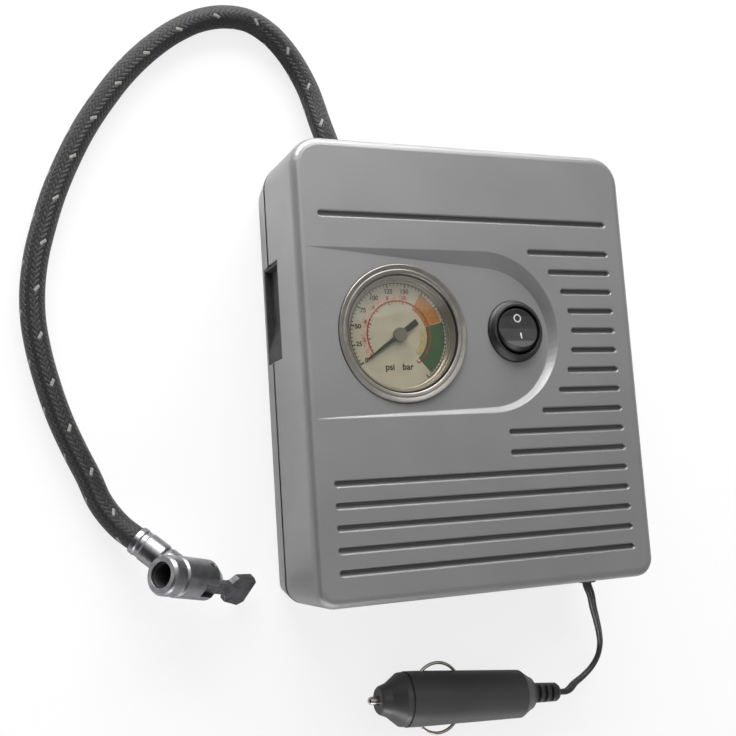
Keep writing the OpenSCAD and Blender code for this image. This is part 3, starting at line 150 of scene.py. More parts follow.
def tubeAlong(samples, section, level=False, roll=0.0):
    # Sweeps a section along the samples; UV holds the share around and the metres along.
    # level keeps the section's first side level, and roll turns it by that many degrees on the way.
    bm = bmesh.new()
    uv = bm.loops.layers.uv.new("around")
    rings = []
    along = [0.0]
    side = None
    last = len(samples) - 1
    for i, (place, at) in enumerate(samples):
        heading = (samples[min(i + 1, last)][0] - samples[max(i - 1, 0)][0]).normalized()
        if side is None or level:
            side = heading.cross(Vector((0, 0, 1))).normalized()
        side = (side - heading * side.dot(heading)).normalized()
        over = side.cross(heading)
        turn = math.radians(roll * at / samples[-1][1])
        c, s = math.cos(turn), math.sin(turn)
        rings.append([bm.verts.new((
            place + side * (a * c - b * s) + over * (a * s + b * c)) * mm) for a, b in section])
        if i:
            along.append(along[-1] + (place - samples[i - 1][0]).length * mm)
    for i in range(last):
        for k, face in enumerate(joinRows(bm, rings[i], rings[i + 1])):
            corners = ((k, i), (k + 1, i), (k + 1, i + 1), (k, i + 1))
            for loop, (a, b) in zip(face.loops, corners):
                loop[uv].uv = (a / len(section), along[b])
    bm.faces.new(rings[0])
    bm.faces.new(rings[-1])
    return bm


def roundSection(radius, count):
    return [onCircle((0, 0), radius, 2 * math.pi * k / count) for k in range(count)]


def prism(bm, outline, low, high):
    # a closed flat form between two heights, in mm
    skin(bm, [[bm.verts.new(Vector((x, y, z)) * mm) for x, y in outline] for z in (low, high)])


def turnedRing(profile, centre, count=96):
    # turns a closed profile of (radius, height) points about an upright axis, in mm
    bm = bmesh.new()
    angles = [2 * math.pi * k / count for k in range(count)]
    skin(bm, [[bm.verts.new(Vector((*onCircle(centre, r, angle), z)) * mm) for r, z in profile]
              for angle in angles], closed=True)
    return bm


def clearTree(owner):
    # the emptied node tree of a material or of the world
    owner.use_nodes = True
    owner.node_tree.nodes.clear()
    return owner.node_tree


# what part of a noise, or of the cosine at an edge, takes a finish from none of an effect to all of it
ranges = {"patch": (0.35, 0.65), "speck": (0.55, 0.75), "sheen": (0.3, 0.7), "edge": (0.99, 0.85)}


def makeFinish(name, look, tint=None):
    # A solid surface: two close colours in patches, roughness and relief from a fine grain, softened edges.
    # patch, grain, relief and edge are sizes in mm. speck and worn are a colour and its greatest share, in
    # fine flecks and on rubbed edges. A smudged surface takes its roughness from the patches.
    material = bpy.data.materials.new(name)
    tree = clearTree(material)
    place = addNode(tree, "TexCoord").outputs["Object"]
    if "stretch" in look:
        place = addNode(tree, "Mapping", {"Vector": place, "Scale": look["stretch"]}).outputs[0]
    patches, grain = (addNode(tree, "TexNoise", {
        "Vector": place, "Scale": 1 / (look[size] * mm), "Detail": detail}).outputs[0]
        for size, detail in (("patch", 2.0), ("grain", 3.0)))
    spread = addNode(tree, "MapRange", {
        "Value": patches, "From Min": ranges["patch"][0], "From Max": ranges["patch"][1]}).outputs[0]
    colours = [srgb(c) for c in look["colours"]]
    colour = addNode(tree, "Mix", {0: spread, 6: colours[0], 7: colours[1]}, data_type="RGBA").outputs[2]
    if "speck" in look:
        fleck, most = look["speck"]
        share = addNode(tree, "MapRange", {
            "Value": grain, "From Min": ranges["speck"][0], "From Max": ranges["speck"][1],
            "To Max": most}).outputs[0]
        colour = addNode(tree, "Mix", {0: share, 6: colour, 7: srgb(fleck)}, data_type="RGBA").outputs[2]
    if tint:
        colour = tint(tree, colour)
    rounded = addNode(tree, "Bevel", {"Radius": look.get("edge", 0.25) * mm}, samples=4).outputs[0]
    if "worn" in look:  # an edge is where the softened normal leaves the face's own; patches break it up
        worn, most = look["worn"]
        facing = addNode(tree, "VectorMath", {
            0: rounded, 1: addNode(tree, "NewGeometry").outputs["Normal"]}, operation="DOT_PRODUCT")
        bare = addNode(tree, "MapRange", {
            "Value": facing.outputs["Value"], "From Min": ranges["edge"][0], "From Max": ranges["edge"][1],
            "To Max": most}).outputs[0]
        rubbed = addNode(tree, "Math", {0: bare, 1: spread}, operation="MULTIPLY").outputs[0]
        colour = addNode(tree, "Mix", {0: rubbed, 6: colour, 7: srgb(worn)}, data_type="RGBA").outputs[2]
    roughness = addNode(tree, "MapRange", {
        "Value": patches if look.get("smudged") else grain,
        "From Min": ranges["sheen"][0], "From Max": ranges["sheen"][1],
        "To Min": look["roughness"][0], "To Max": look["roughness"][1]}).outputs[0]
    relief = addNode(tree, "Bump", {
        "Height": grain, "Distance": look["relief"] * mm, "Strength": 1.0, "Normal": rounded}).outputs[0]
    shader = addNode(tree, "BsdfPrincipled", {
        "Base Color": colour, "Roughness": roughness, "Normal": relief,
        "Metallic": look.get("metallic", 0.0)})
    if not look.get("metallic"):
        shader.inputs["IOR"].default_value = look.get("ior", 1.5)
    addNode(tree, "OutputMaterial", {"Surface": shader.outputs[0]})
    return material


# Injection-moulded ABS under a satin silver lacquer: mid grey with a soft sheen and fine metal flake.
# The flake is about 0.1 mm; it is drawn at 0.4 mm so that it shows. The grooves and the joint between the
# shells take painted shade.
casing = {
    "colours": ("#949494", "#8F8F90"), "patch": 30.0, "grain": 0.4, "relief": 0.004,
    "roughness": (0.36, 0.44), "metallic": 0.58, "speck": ("#B4B4B4", 0.25), "worn": ("#BABABA", 0.4),
    "edge": 0.6,
    # the grooves' colour is painted shade
    "paintedGrooveShade": "#606060", "grooveTop": 49.8, "grooveFloor": 48.9, "grooveLowest": 48.0,  # mm
    "grooveWidth": 61.0, "grooveFront": -72.5, "grooveBack": 57.0,  # mm from the middle to where they end
    "panelCentre": (4.0, 12.0), "panelClear": 33.0,  # mm; the panel's round part has no grooves
    # the joint's colour is painted shade, full near the joint and gone at the outer reach
    "paintedJointShade": "#2A2A2A", "jointAt": 17.55, "jointReach": (0.75, 1.5),  # mm up, and each way from there
}


def shadeGrooves(tree, colour):
    # paints shade on what lies below the face inside the grooved part of it, and leaves the panel's slope
    # alone
    place = addNode(tree, "SeparateXYZ", {0: addNode(tree, "TexCoord").outputs["Object"]}).outputs
    low = addNode(tree, "MapRange", {
        "Value": place[2],
        "From Min": casing["grooveTop"] * mm, "From Max": casing["grooveFloor"] * mm}).outputs[0]
    centreX, centreY = (v * mm for v in casing["panelCentre"])
    sideways = addNode(tree, "Math", {0: place[0], 1: centreX}, operation="SUBTRACT").outputs[0]
    sideways = addNode(tree, "Math", {0: sideways, 1: 0.0}, operation="MAXIMUM").outputs[0]
    upward = addNode(tree, "Math", {0: place[1], 1: centreY}, operation="SUBTRACT").outputs[0]
    reach = addNode(tree, "CombineXYZ", {0: sideways, 1: upward})
    reach = addNode(tree, "VectorMath", {0: reach.outputs[0]}, operation="LENGTH").outputs["Value"]
    inside = low
    for value, edge, way in (
            (reach, casing["panelClear"], "GREATER_THAN"),
            (place[0], casing["grooveWidth"], "LESS_THAN"),
            (place[0], -casing["grooveWidth"], "GREATER_THAN"),
            (place[1], casing["grooveFront"], "GREATER_THAN"),
            (place[1], casing["grooveBack"], "LESS_THAN"),
            (place[2], casing["grooveLowest"], "GREATER_THAN")):
        test = addNode(tree, "Math", {0: value, 1: edge * mm}, operation=way).outputs[0]
        inside = addNode(tree, "Math", {0: inside, 1: test}, operation="MULTIPLY").outputs[0]
    shaded = addNode(tree, "Mix", {
        0: inside, 6: colour, 7: srgb(casing["paintedGrooveShade"])}, data_type="RGBA").outputs[2]
    # painted shade in the joint between the two shells
    near, far = casing["jointReach"]
    away = addNode(tree, "Math", {0: place[2], 1: casing["jointAt"] * mm}, operation="SUBTRACT").outputs[0]
    away = addNode(tree, "Math", {0: away}, operation="ABSOLUTE").outputs[0]
    between = addNode(tree, "MapRange", {
        "Value": away, "From Min": far * mm, "From Max": near * mm}).outputs[0]
    return addNode(tree, "Mix", {
        0: between, 6: shaded, 7: srgb(casing["paintedJointShade"])}, data_type="RGBA").outputs[2]


silverAbs = makeFinish("silverLacqueredAbs", casing, shadeGrooves)

# Moulded thermoplastic rubber: matt near-black with a fine spark-eroded grain that greys under light
mouldedRubber = makeFinish("mouldedRubber", {
    "colours": ("#2B2B2C", "#353536"), "patch": 6.0, "grain": 0.35, "relief": 0.02,
    "roughness": (0.55, 0.72), "worn": ("#5A5A5A", 0.5), "edge": 0.3, "ior": 1.52})

# Moulded black nylon: dark with a dull sheen
blackNylon = makeFinish("mouldedNylon", {
    "colours": ("#151515", "#1B1B1C"), "patch": 8.0, "grain": 0.3, "relief": 0.008,
    "roughness": (0.38, 0.5), "worn": ("#3A3A3A", 0.4), "edge": 0.25, "ior": 1.53})

# Moulded black nylon of the switch: charcoal, with a fine eroded grain that blurs its highlights
switchNylon = makeFinish("grainedNylon", {
    "colours": ("#1B1B1C", "#242425"), "patch": 3.0, "grain": 0.3, "relief": 0.01,
    "roughness": (0.34, 0.5), "worn": ("#484848", 0.5), "edge": 0.4, "ior": 1.53})

# Moulded ABS of the plug: greyed black with a semi-gloss and finger marks
plugAbs = makeFinish("mouldedBlackAbs", {
    "colours": ("#454546", "#49494A"), "patch": 14.0, "grain": 0.5, "relief": 0.004,
    "roughness": (0.29, 0.38), "worn": ("#626262", 0.45), "edge": 0.35, "ior": 1.54, "smudged": True})

# Extruded soft PVC: greyed black skin with a waxy shine
softPvc = makeFinish("extrudedPvc", {
    "colours": ("#353536", "#3C3C3D"), "patch": 9.0, "grain": 0.6, "relief": 0.01,
    "roughness": (0.3, 0.42), "edge": 0.2, "ior": 1.54})

# Extruded PVC of the tubes inside the casing: dark smoke grey with a soft shine
tubePvc = makeFinish("mattPvc", {
    "colours": ("#3B3B3E", "#46464A"), "patch": 5.0, "grain": 0.5, "relief": 0.006,
    "roughness": (0.3, 0.4), "edge": 0.2, "ior": 1.54})

# Zinc die casting under dull nickel: grey metal with a soft cast skin and brighter rubbed edges
nickelledZinc = makeFinish("nickelledZinc", {
    "colours": ("#9A9A9C", "#87878A"), "patch": 4.0, "grain": 0.5, "relief": 0.02,
    "roughness": (0.29, 0.42), "metallic": 1.0, "worn": ("#C8C8C8", 0.7), "edge": 0.3, "smudged": True})

# Die-cast zinc of the lever, dulled by age: a darker and rougher skin, rubbed bright at its edges
darkZinc = makeFinish("agedZinc", {
    "colours": ("#68686A", "#505052"), "patch": 2.5, "grain": 0.5, "relief": 0.03,
    "roughness": (0.34, 0.52), "metallic": 1.0, "worn": ("#B4B4B4", 0.6), "edge": 0.3})

# Zinc-plated steel of screws, pins and the motor's can: pale blue-grey with a satin gleam
platedSteel = makeFinish("zincPlatedSteel", {
    "colours": ("#A9ABAD", "#96989C"), "patch": 3.0, "grain": 0.8, "relief": 0.0006,
    "roughness": (0.28, 0.36), "metallic": 1.0, "worn": ("#D0D0D0", 0.5), "edge": 0.2})

# Nickel over the plug's brass tip, contacts and spring: warm white metal with bright, narrow highlights
brightNickel = makeFinish("nickelledBrass", {
    "colours": ("#C9C6BE", "#B4B0A6"), "patch": 3.0, "grain": 0.8, "relief": 0.0006,
    "roughness": (0.14, 0.26), "metallic": 1.0, "worn": ("#E8E6E0", 0.5), "edge": 0.15})

# Turned and stamped brass: dull gold, slightly tarnished, with brighter edges
turnedBrass = makeFinish("turnedBrass", {
    "colours": ("#C9A24E", "#AE8638"), "patch": 4.0, "grain": 0.8, "relief": 0.0008,
    "roughness": (0.28, 0.38), "metallic": 1.0, "worn": ("#E2C274", 0.5), "edge": 0.2})

# Die-cast aluminium: pale grey with a grainy cast skin
castAluminium = makeFinish("dieCastAluminium", {
    "colours": ("#A6A8AA", "#94969A"), "patch": 6.0, "grain": 0.6, "relief": 0.03,
    "roughness": (0.36, 0.52), "metallic": 1.0, "worn": ("#C8CACC", 0.5), "edge": 0.3})

# Enamelled copper wire on a laminated steel core: reddish brown, with darker bands across the shaft
woundCopper = makeFinish("enamelledCopper", {
    "colours": ("#9A5330", "#7D4024"), "patch": 2.0, "grain": 0.5, "relief": 0.03, "stretch": (1, 6, 1),
    "roughness": (0.29, 0.42), "metallic": 0.8, "edge": 0.2})

# Pressed carbon of the brushes and sintered ferrite of the magnets: dull black-grey with paler grit
pressedCarbon = makeFinish("sinteredCarbon", {
    "colours": ("#2A2A2C", "#37373A"), "patch": 2.0, "grain": 0.3, "relief": 0.02,
    "roughness": (0.5, 0.65), "speck": ("#5C5C60", 0.4), "edge": 0.2})

# Moulded acetal of the crank gear: milky white with a low sheen
acetal = makeFinish("mouldedAcetal", {
    "colours": ("#DAD8CE", "#CFCDC2"), "patch": 8.0, "grain": 0.5, "relief": 0.006,
    "roughness": (0.34, 0.45), "worn": ("#EDECE6", 0.5), "edge": 0.25, "ior": 1.48})

# Enamel on the dial plate: warm cream with a satin face and faint yellowing
dialEnamel = makeFinish("creamEnamel", {
    "colours": ("#A4A296", "#9A988C"), "patch": 9.0, "grain": 0.6, "relief": 0.002,
    "roughness": (0.4, 0.5), "edge": 0.15, "ior": 1.5})

# Black pointer paint over spring steel: nearly flat black, with a bare grey cap at its hub
needle = {
    "colours": ("#121212", "#1A1A1A"), "patch": 2.0, "grain": 0.4, "relief": 0.004,
    "roughness": (0.4, 0.5), "edge": 0.12,
    "centre": (-29.7, 11.5), "hubRadius": 3.0, "hubColour": "#5A5A52",
}


def shadeHub(tree, colour):
    # the pressed cap over the pointer's staff
    place = addNode(tree, "TexCoord").outputs["Object"]
    centre = Vector((*needle["centre"], 0)) * mm
    away = addNode(tree, "VectorMath", {0: place, 1: centre}, operation="SUBTRACT").outputs[0]
    flat = addNode(tree, "VectorMath", {0: away, 1: (1, 1, 0)}, operation="MULTIPLY").outputs[0]
    far = addNode(tree, "VectorMath", {0: flat}, operation="LENGTH").outputs["Value"]
    near = addNode(tree, "Math", {0: far, 1: needle["hubRadius"] * mm}, operation="LESS_THAN").outputs[0]
    return addNode(tree, "Mix", {
        0: near, 6: colour, 7: srgb(needle["hubColour"])}, data_type="RGBA").outputs[2]


needlePaint = makeFinish("pointerEnamel", needle, shadeHub)

# Screen-printed ink: thin, even and slightly broken at a grain of 0.3 mm
ink = {"deep": 0.86, "patch": 1.2, "grain": 0.3, "relief": 0.002, "roughness": (0.4, 0.55), "edge": 0.02}


def makeInk(name, hexText):
    # an ink whose second colour is a deeper one of the first
    deep = [round(int(hexText[i:i + 2], 16) * ink["deep"]) for i in (1, 3, 5)]
    return makeFinish(name, dict(ink, colours=(hexText, "#%02X%02X%02X" % tuple(deep))))


def makeClear(name, look):
    # clear plastic or glass with faint haze; shadow rays pass, so that lamps light what lies behind it
    material = bpy.data.materials.new(name)
    tree = clearTree(material)
    haze = addNode(tree, "TexNoise", {
        "Vector": addNode(tree, "TexCoord").outputs["Object"],
        "Scale": 1 / (look["patch"] * mm), "Detail": 3.0}).outputs[0]
    roughness = addNode(tree, "MapRange", {
        "Value": haze, "From Min": ranges["sheen"][0], "From Max": ranges["sheen"][1],
        "To Min": look["roughness"][0], "To Max": look["roughness"][1]}).outputs[0]
    glass = addNode(tree, "BsdfPrincipled", {
        "Base Color": srgb(look["colour"]), "Roughness": roughness, "IOR": look["ior"],
        "Transmission Weight": 1.0})
    through = addNode(tree, "BsdfTransparent", {"Color": srgb(look["shade"])})
    lamp = addNode(tree, "LightPath").outputs["Is Shadow Ray"]
    mixed = addNode(tree, "MixShader", {0: lamp, 1: glass.outputs[0], 2: through.outputs[0]})
    addNode(tree, "OutputMaterial", {"Surface": mixed.outputs[0]})
    return material


# Moulded polystyrene lens: water clear with a slight warm tint and a polished face
clearLens = makeClear("mouldedPolystyrene", {
    "colour": "#F4F2EC", "shade": "#ECE9E0", "ior": 1.55, "patch": 12.0, "roughness": (0.01, 0.05)})

# Drawn soda glass of the fuse: clear with a trace of green and a fire-polished face
fuseGlass = makeClear("sodaGlass", {
    "colour": "#EEF2F0", "shade": "#E4EAE6", "ior": 1.52, "patch": 8.0, "roughness": (0.01, 0.04)})

# Braided polyester over rubber: charcoal, with a dull sheen, a woven relief with painted shade between the
# yarns, and short pale tracers.
# A yarn is 27.6 mm / 16 = 1.7 mm wide; its filaments are 0.02 mm, and are drawn 0.3 mm wide to show.
braid = {
    "yarns": 16,  # carriers each way round the hose
    "pitch": 34.0,  # mm for one turn of a carrier
    "filaments": 6,  # across a yarn, as drawn
    "fuzz": 0.5,  # mm
    "colours": ("#0A0A0B", "#1D1D1F"), "roughness": (0.42, 0.62), "sheen": 0.1, "sheenRoughness": 0.4,
    # the height and the strands paint shade into the weave, lighter on the crowns; the fuzz is random tone
    "toneAndPaintedShadeFrom": {"height": 0.6, "fuzz": 0.4, "strands": 0.1},  # what each adds to the second colour
    "relief": 0.27,  # mm
    "reliefFrom": {"strands": 0.06, "fuzz": 0.15},  # what each adds to a yarn's own height
    "tracerColour": "#8C8C86", "tracerAbove": 0.55,  # shown on the middle of a yarn only
    "tracerEvery": 8.0, "tracerRun": 4.0,  # one yarn in 8 is pale, for 4 crossings in 8
}


def makeBraid():
    # two families of flat yarns slant each way round the hose and cross two over and two under
    material = bpy.data.materials.new("braidedPolyester")
    tree = clearTree(material)
    uv = addNode(tree, "SeparateXYZ", {0: addNode(tree, "UVMap", uv_map="around").outputs[0]}).outputs
    fuzz = addNode(tree, "TexNoise", {
        "Vector": addNode(tree, "TexCoord").outputs["Object"],
        "Scale": 1 / (braid["fuzz"] * mm), "Detail": 3.0})
    # each row names a value, and says which sum makes it from earlier values and plain numbers
    rows = [
        ("across", "MULTIPLY", "u", float(braid["yarns"])),
        ("along", "MULTIPLY", "v", braid["yarns"] / (braid["pitch"] * mm)),
        ("lineA", "ADD", "across", "along"),
        ("lineB", "SUBTRACT", "across", "along"),
    ]
    for own in "AB":  # a yarn's number, the share across it, and its height: 1 in the middle, 0 at the edges
        rows += [
            ("yarn" + own, "FLOOR", "line" + own, 0.0),
            ("share" + own, "FRACT", "line" + own, 0.0),
            ("double" + own, "MULTIPLY", "share" + own, 2.0),
            ("centred" + own, "SUBTRACT", "double" + own, 1.0),
            ("square" + own, "MULTIPLY", "centred" + own, "centred" + own),
            ("left" + own, "SUBTRACT", 1.0, "square" + own),
            ("height" + own, "SQRT", "left" + own, 0.0),
        ]
    rows += [
        ("crossing", "ADD", "yarnA", "yarnB"),
        ("turn", "FLOORED_MODULO", "crossing", 4.0),
        ("overA", "LESS_THAN", "turn", 1.5),
        ("overB", "SUBTRACT", 1.0, "overA"),
        ("seenA", "MULTIPLY", "heightA", "overA"),
        ("seenB", "MULTIPLY", "heightB", "overB"),
        ("height", "ADD", "seenA", "seenB"),
        ("spanA", "MULTIPLY", "shareA", "overA"),
        ("spanB", "MULTIPLY", "shareB", "overB"),
        ("span", "ADD", "spanA", "spanB"),
        ("wave", "MULTIPLY", "span", 2 * math.pi * braid["filaments"]),
        ("strands", "SINE", "wave", 0.0),
        # painted shade: a yarn is lighter on its crown, darker at its edges and between its filaments
        ("paintedShadeByHeight", "MULTIPLY", "height", braid["toneAndPaintedShadeFrom"]["height"]),
        ("lightFuzz", "MULTIPLY", "fuzz", braid["toneAndPaintedShadeFrom"]["fuzz"]),
        ("paintedShadeByStrands", "MULTIPLY", "strands", braid["toneAndPaintedShadeFrom"]["strands"]),
        ("lightBoth", "ADD", "paintedShadeByHeight", "lightFuzz"),
        ("light", "ADD", "lightBoth", "paintedShadeByStrands"),
        ("raisedStrands", "MULTIPLY", "strands", braid["reliefFrom"]["strands"]),
        ("raisedFuzz", "MULTIPLY", "fuzz", braid["reliefFrom"]["fuzz"]),
        ("raisedBoth", "ADD", "height", "raisedStrands"),
        ("raised", "ADD", "raisedBoth", "raisedFuzz"),
        ("placeA", "FLOORED_MODULO", "yarnA", braid["tracerEvery"]),
        ("placeB", "FLOORED_MODULO", "yarnB", braid["tracerEvery"]),
        ("pale", "LESS_THAN", "placeA", 0.5),
        ("run", "LESS_THAN", "placeB", braid["tracerRun"] - 0.5),
        ("paleRun", "MULTIPLY", "pale", "run"),
        ("paleOver", "MULTIPLY", "paleRun", "overA"),
        ("middle", "GREATER_THAN", "height", braid["tracerAbove"]),
        ("tracer", "MULTIPLY", "paleOver", "middle"),
    ]
    values = {"u": uv[0], "v": uv[1], "fuzz": fuzz.outputs[0]}
    for name, operation, a, b in rows:
        values[name] = addNode(tree, "Math", {
            0: values.get(a, a), 1: values.get(b, b)}, operation=operation).outputs[0]
    colours = [srgb(c) for c in braid["colours"]]
    colour = addNode(tree, "Mix", {
        0: values["light"], 6: colours[0], 7: colours[1]}, data_type="RGBA").outputs[2]
    colour = addNode(tree, "Mix", {
        0: values["tracer"], 6: colour, 7: srgb(braid["tracerColour"])}, data_type="RGBA").outputs[2]
    relief = addNode(tree, "Bump", {
        "Height": values["raised"], "Distance": braid["relief"] * mm, "Strength": 1.0}).outputs[0]
    roughness = addNode(tree, "MapRange", {
        "Value": values["fuzz"], "To Min": braid["roughness"][0], "To Max": braid["roughness"][1]}).outputs[0]
    shader = addNode(tree, "BsdfPrincipled", {
        "Base Color": colour, "Roughness": roughness, "Normal": relief, "IOR": 1.5,
        "Sheen Weight": braid["sheen"], "Sheen Roughness": braid["sheenRoughness"]})
    addNode(tree, "OutputMaterial", {"Surface": shader.outputs[0]})
    return material


braidedPolyester = makeBraid()
print("materials made")

# where the chuck and the plug lie, in mm and degrees
chuck = {"at": (-114.8, -66.7, 25.4), "turn": (-58, 34, -12), "tailX": 13.0, "tailLean": 26.0}
plug = {"at": (-36.8, -120.5, 10.2), "turn": -5.0, "length": 82.0}


def chuckPoint(p):
    # a point given in the chuck's own axes
    x, y, z = (Matrix.Rotation(math.radians(a), 3, axis) for a, axis in zip(chuck["turn"], "XYZ"))
    return Vector(chuck["at"]) + z @ y @ x @ Vector(p)


def tailPoint(t):
    # a point t mm down the middle of the chuck's hose tail
    lean = math.radians(chuck["tailLean"])
    return chuckPoint((chuck["tailX"] - t * math.sin(lean), t * math.cos(lean), 0))


def plugPoint(p):
    # a point given in the plug's own axes
    return Vector(plug["at"]) + Matrix.Rotation(math.radians(plug["turn"]), 3, "Z") @ Vector(p)


def pathLength(path):
    return sum((b[0] - a[0]).length for a, b in zip(path, path[1:])) * mm


hose = {
    "radius": 4.4, "sides": 40, "step": 1.0, "exit": (-37.5, 82, 10),
    "start": [(-37.5, 76.4, 10), (-37.5, 82, 10), (-37.5, 89, 10)],
    "route": [
        (-38.2, 93, 9.8), (-39.3, 97, 9.3), (-40.6, 103, 8), (-41.8, 110, 6.3), (-43.6, 117.5, 5),
        (-46.4, 124, 4.5), (-51, 131.5, 4.5), (-58.5, 139.5, 4.5), (-67, 144, 4.5), (-76, 144.5, 4.5),
        (-86, 142, 4.5), (-96, 136.5, 4.5), (-106, 128.5, 4.5), (-116, 118, 4.5), (-124.5, 106.5, 4.5),
        (-132, 94.5, 4.5), (-138, 82.5, 4.5), (-143, 70.5, 4.5), (-147, 58, 4.5), (-150, 46, 4.5),
        (-151.5, 34.5, 4.5), (-151.5, 24, 4.5), (-150, 13, 4.5), (-147.2, 1, 4.5), (-143.5, -11, 4.5),
        (-138.8, -22.5, 4.5), (-134.2, -32.5, 4.5), (-131, -40.5, 4.6)],
    "end": (29.5, 22.5, 16, 11.2),  # mm down the chuck's tail
}
hosePath = smoothPath(hose["start"] + hose["route"] + [tailPoint(t) for t in hose["end"]], hose["step"])
hoseSection = roundSection(hose["radius"], hose["sides"])
airHose = addPiece("braidedHose", tubeAlong(hosePath, hoseSection), "casing", braidedPolyester)
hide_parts("air_hose")

lead = {
    "width": 4.2, "thick": 2.2, "web": 0.6, "facets": 14, "step": 0.7, "exit": (59, -82, 17),
    "start": [(59, -77.2, 17), (59, -82, 17), (59, -86, 17)],
    "route": [
        (60.5, -90, 16.6), (63, -96, 14), (66, -101.5, 11), (68.6, -107, 8.2), (69.8, -112, 6.4),
        (69, -116.5, 5.4), (66, -120.6, 5), (61, -123.8, 5.6), (55.6, -125.8, 7.2)],
    "end": (4.0, 0.1),  # mm behind the plug
    "roll": 90,  # degrees from the grommet to the plug
}


def twinSection():
    # two round cores side by side, joined by a thin web
    core = lead["thick"] / 2
    centre = lead["width"] / 2 - core
    start = math.degrees(math.asin(lead["web"] / core))
    section = []
    for sign, first in ((1, -180 + start), (-1, start)):
        for k in range(lead["facets"] + 1):
            angle = math.radians(first + (360 - 2 * start) * k / lead["facets"])
            section.append(onCircle((sign * centre, 0), core, angle))
    return section


leadRoute = lead["start"] + lead["route"] + [plugPoint((plug["length"] + t, 0, 0)) for t in lead["end"]]
leadPath = smoothPath(leadRoute, lead["step"])
leadTube = tubeAlong(leadPath, twinSection(), level=True, roll=lead["roll"])
twinLead = addPiece("twinLead", leadTube, "casing", softPvc, sharp=60)
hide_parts("power_cord")
print("hose and lead laid: %.3f m and %.3f m" % (pathLength(hosePath), pathLength(leadPath)))

springs = {
    "wire": 0.3, "sides": 10, "turns": 4, "facets": 40,  # wire's radius in mm; facets are for each turn
    "valve": {"radius": 2.1, "travel": 1.0},
    "plug": {"radius": 2.4, "from": 8.8, "length": 5.7, "travel": 2.5},
}


def coil(start, axis, radius, length):
    # an open coil of round wire about an axis, in mm
    axis = Vector(axis).normalized()
    side = axis.cross(Vector((0, 0, 1))).normalized()
    over = axis.cross(side)
    facets = springs["facets"]
    count = facets * springs["turns"]
    path = []
    for k in range(count + 1):
        angle = 2 * math.pi * k / facets
        outward = side * math.cos(angle) + over * math.sin(angle)
        path.append((Vector(start) + axis * length * k / count + radius * outward, float(k)))
    return tubeAlong(path, roundSection(springs["wire"], springs["sides"]))


springLow, springHigh = (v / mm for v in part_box("valve_spring"))
valveSpring = springs["valve"]
valveLength = springHigh.x - springLow.x - 2 * springs["wire"]
valveStart = Vector((
    springHigh.x - springs["wire"], (springLow.y + springHigh.y) / 2, (springLow.z + springHigh.z) / 2))
valveWire = coil(valveStart, (-1, 0, 0), valveSpring["radius"], valveLength)
valveCoil = addPiece("valveSpringCoil", valveWire, "casing", platedSteel)
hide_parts("valve_spring")
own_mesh(valveCoil)

plugAxis = plugPoint((1, 0, 0)) - plugPoint((0, 0, 0))
plugSpring = springs["plug"]
plugWire = coil(plugPoint((plugSpring["from"], 0, 0)), plugAxis, plugSpring["radius"], plugSpring["length"])
plugCoil = addPiece("plugSpringCoil", plugWire, "casing", brightNickel)
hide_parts("plug_spring")
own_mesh(plugCoil)
print("springs wound")

dial = {
    "centre": (-29.7, 11.5), "top": 44.6, "zero": 214.0, "sweep": 270.0, "step": 2.0,  # mm and degrees
    "bold": 0.06, "bandHeights": (0.005, 0.05), "scaleHeights": (0.01, 0.08),  # mm, above the dial's face
    "outer": {"full": 300, "major": 25, "minor": 5, "radius": 18.9, "line": 0.25,
              "majorTick": (1.4, 0.42), "minorTick": (0.9, 0.24),  # length and width
              "numbers": 16.1, "size": 2.3, "last": 150,
              "words": (("psi", -4.4, -11.6, 3.3), ("bar", 2.6, -11.6, 3.3))},  # x, y and size
    "inner": {"full": 20, "major": 2, "minor": 0.5, "radius": 12.4, "line": 0.5,
              "majorTick": (1.2, 0.42), "minorTick": (0.7, 0.28),
              "numbers": 13.7, "size": 1.9, "last": 10, "words": ()},
    "green": {"radii": (11.0, 18.2), "angles": (15.0, -50.0), "colour": "#214A22"},
    "orange": {"radii": (10.8, 17.6), "angles": (58.0, 16.0), "colour": "#A56C20"},
    "ochre": {"radii": (8.6, 10.7), "angles": (14.0, -46.0), "colour": "#A69B6C"},
    "pink": {"radii": (12.6, 14.8), "angles": (212.0, 70.0), "colour": "#AF988B"},
}

# Spun steel rim, satin nickel plated: dished in two steps to the lens, so it takes two soft arcs of light
rim = {
    "colours": ("#9C9892", "#8A8680"), "patch": 5.0, "grain": 0.4, "relief": 0.001,
    "roughness": (0.28, 0.37), "metallic": 0.8, "worn": ("#C4C0B8", 0.5), "edge": 0.2, "smudged": True,
    "steps": [(22.5, 47.5), (25.0, 47.5), (25.0, 49.7), (24.93, 49.92), (24.75, 50.04), (24.5, 50.04),
              (24.1, 49.9), (23.7, 49.78), (23.15, 49.58), (23.0, 49.66), (22.8, 49.7), (22.5, 49.67),
              (21.7, 49.48), (21.5, 49.42), (22.5, 49.41)],
}
rimRing = turnedRing(rim["steps"], dial["centre"])
dishedRim = addPiece("dishedRim", rimRing, "casing", makeFinish("satinNickelledSteel", rim), sharp=30)
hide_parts("gauge_bezel")

# Spun steel ring that holds the dial down, under dull nickel: warm grey and stepped, with paler arrises
collar = {
    "colours": ("#938E83", "#858076"), "patch": 8.0, "grain": 1.5, "relief": 0.0004,
    "roughness": (0.28, 0.34), "metallic": 0.75, "worn": ("#BDB9AE", 0.5), "edge": 0.15,
    "steps": [(20.95, 44.65), (19.3, 44.65), (19.3, 45.2), (19.65, 45.5), (20.1, 45.5), (20.1, 46.5),
              (20.3, 46.7), (20.6, 46.7), (20.6, 47.95), (20.95, 47.95)],
}
collarRing = turnedRing(collar["steps"], dial["centre"])
addPiece("dialCollar", collarRing, "casing", makeFinish("dullNickelledSteel", collar))


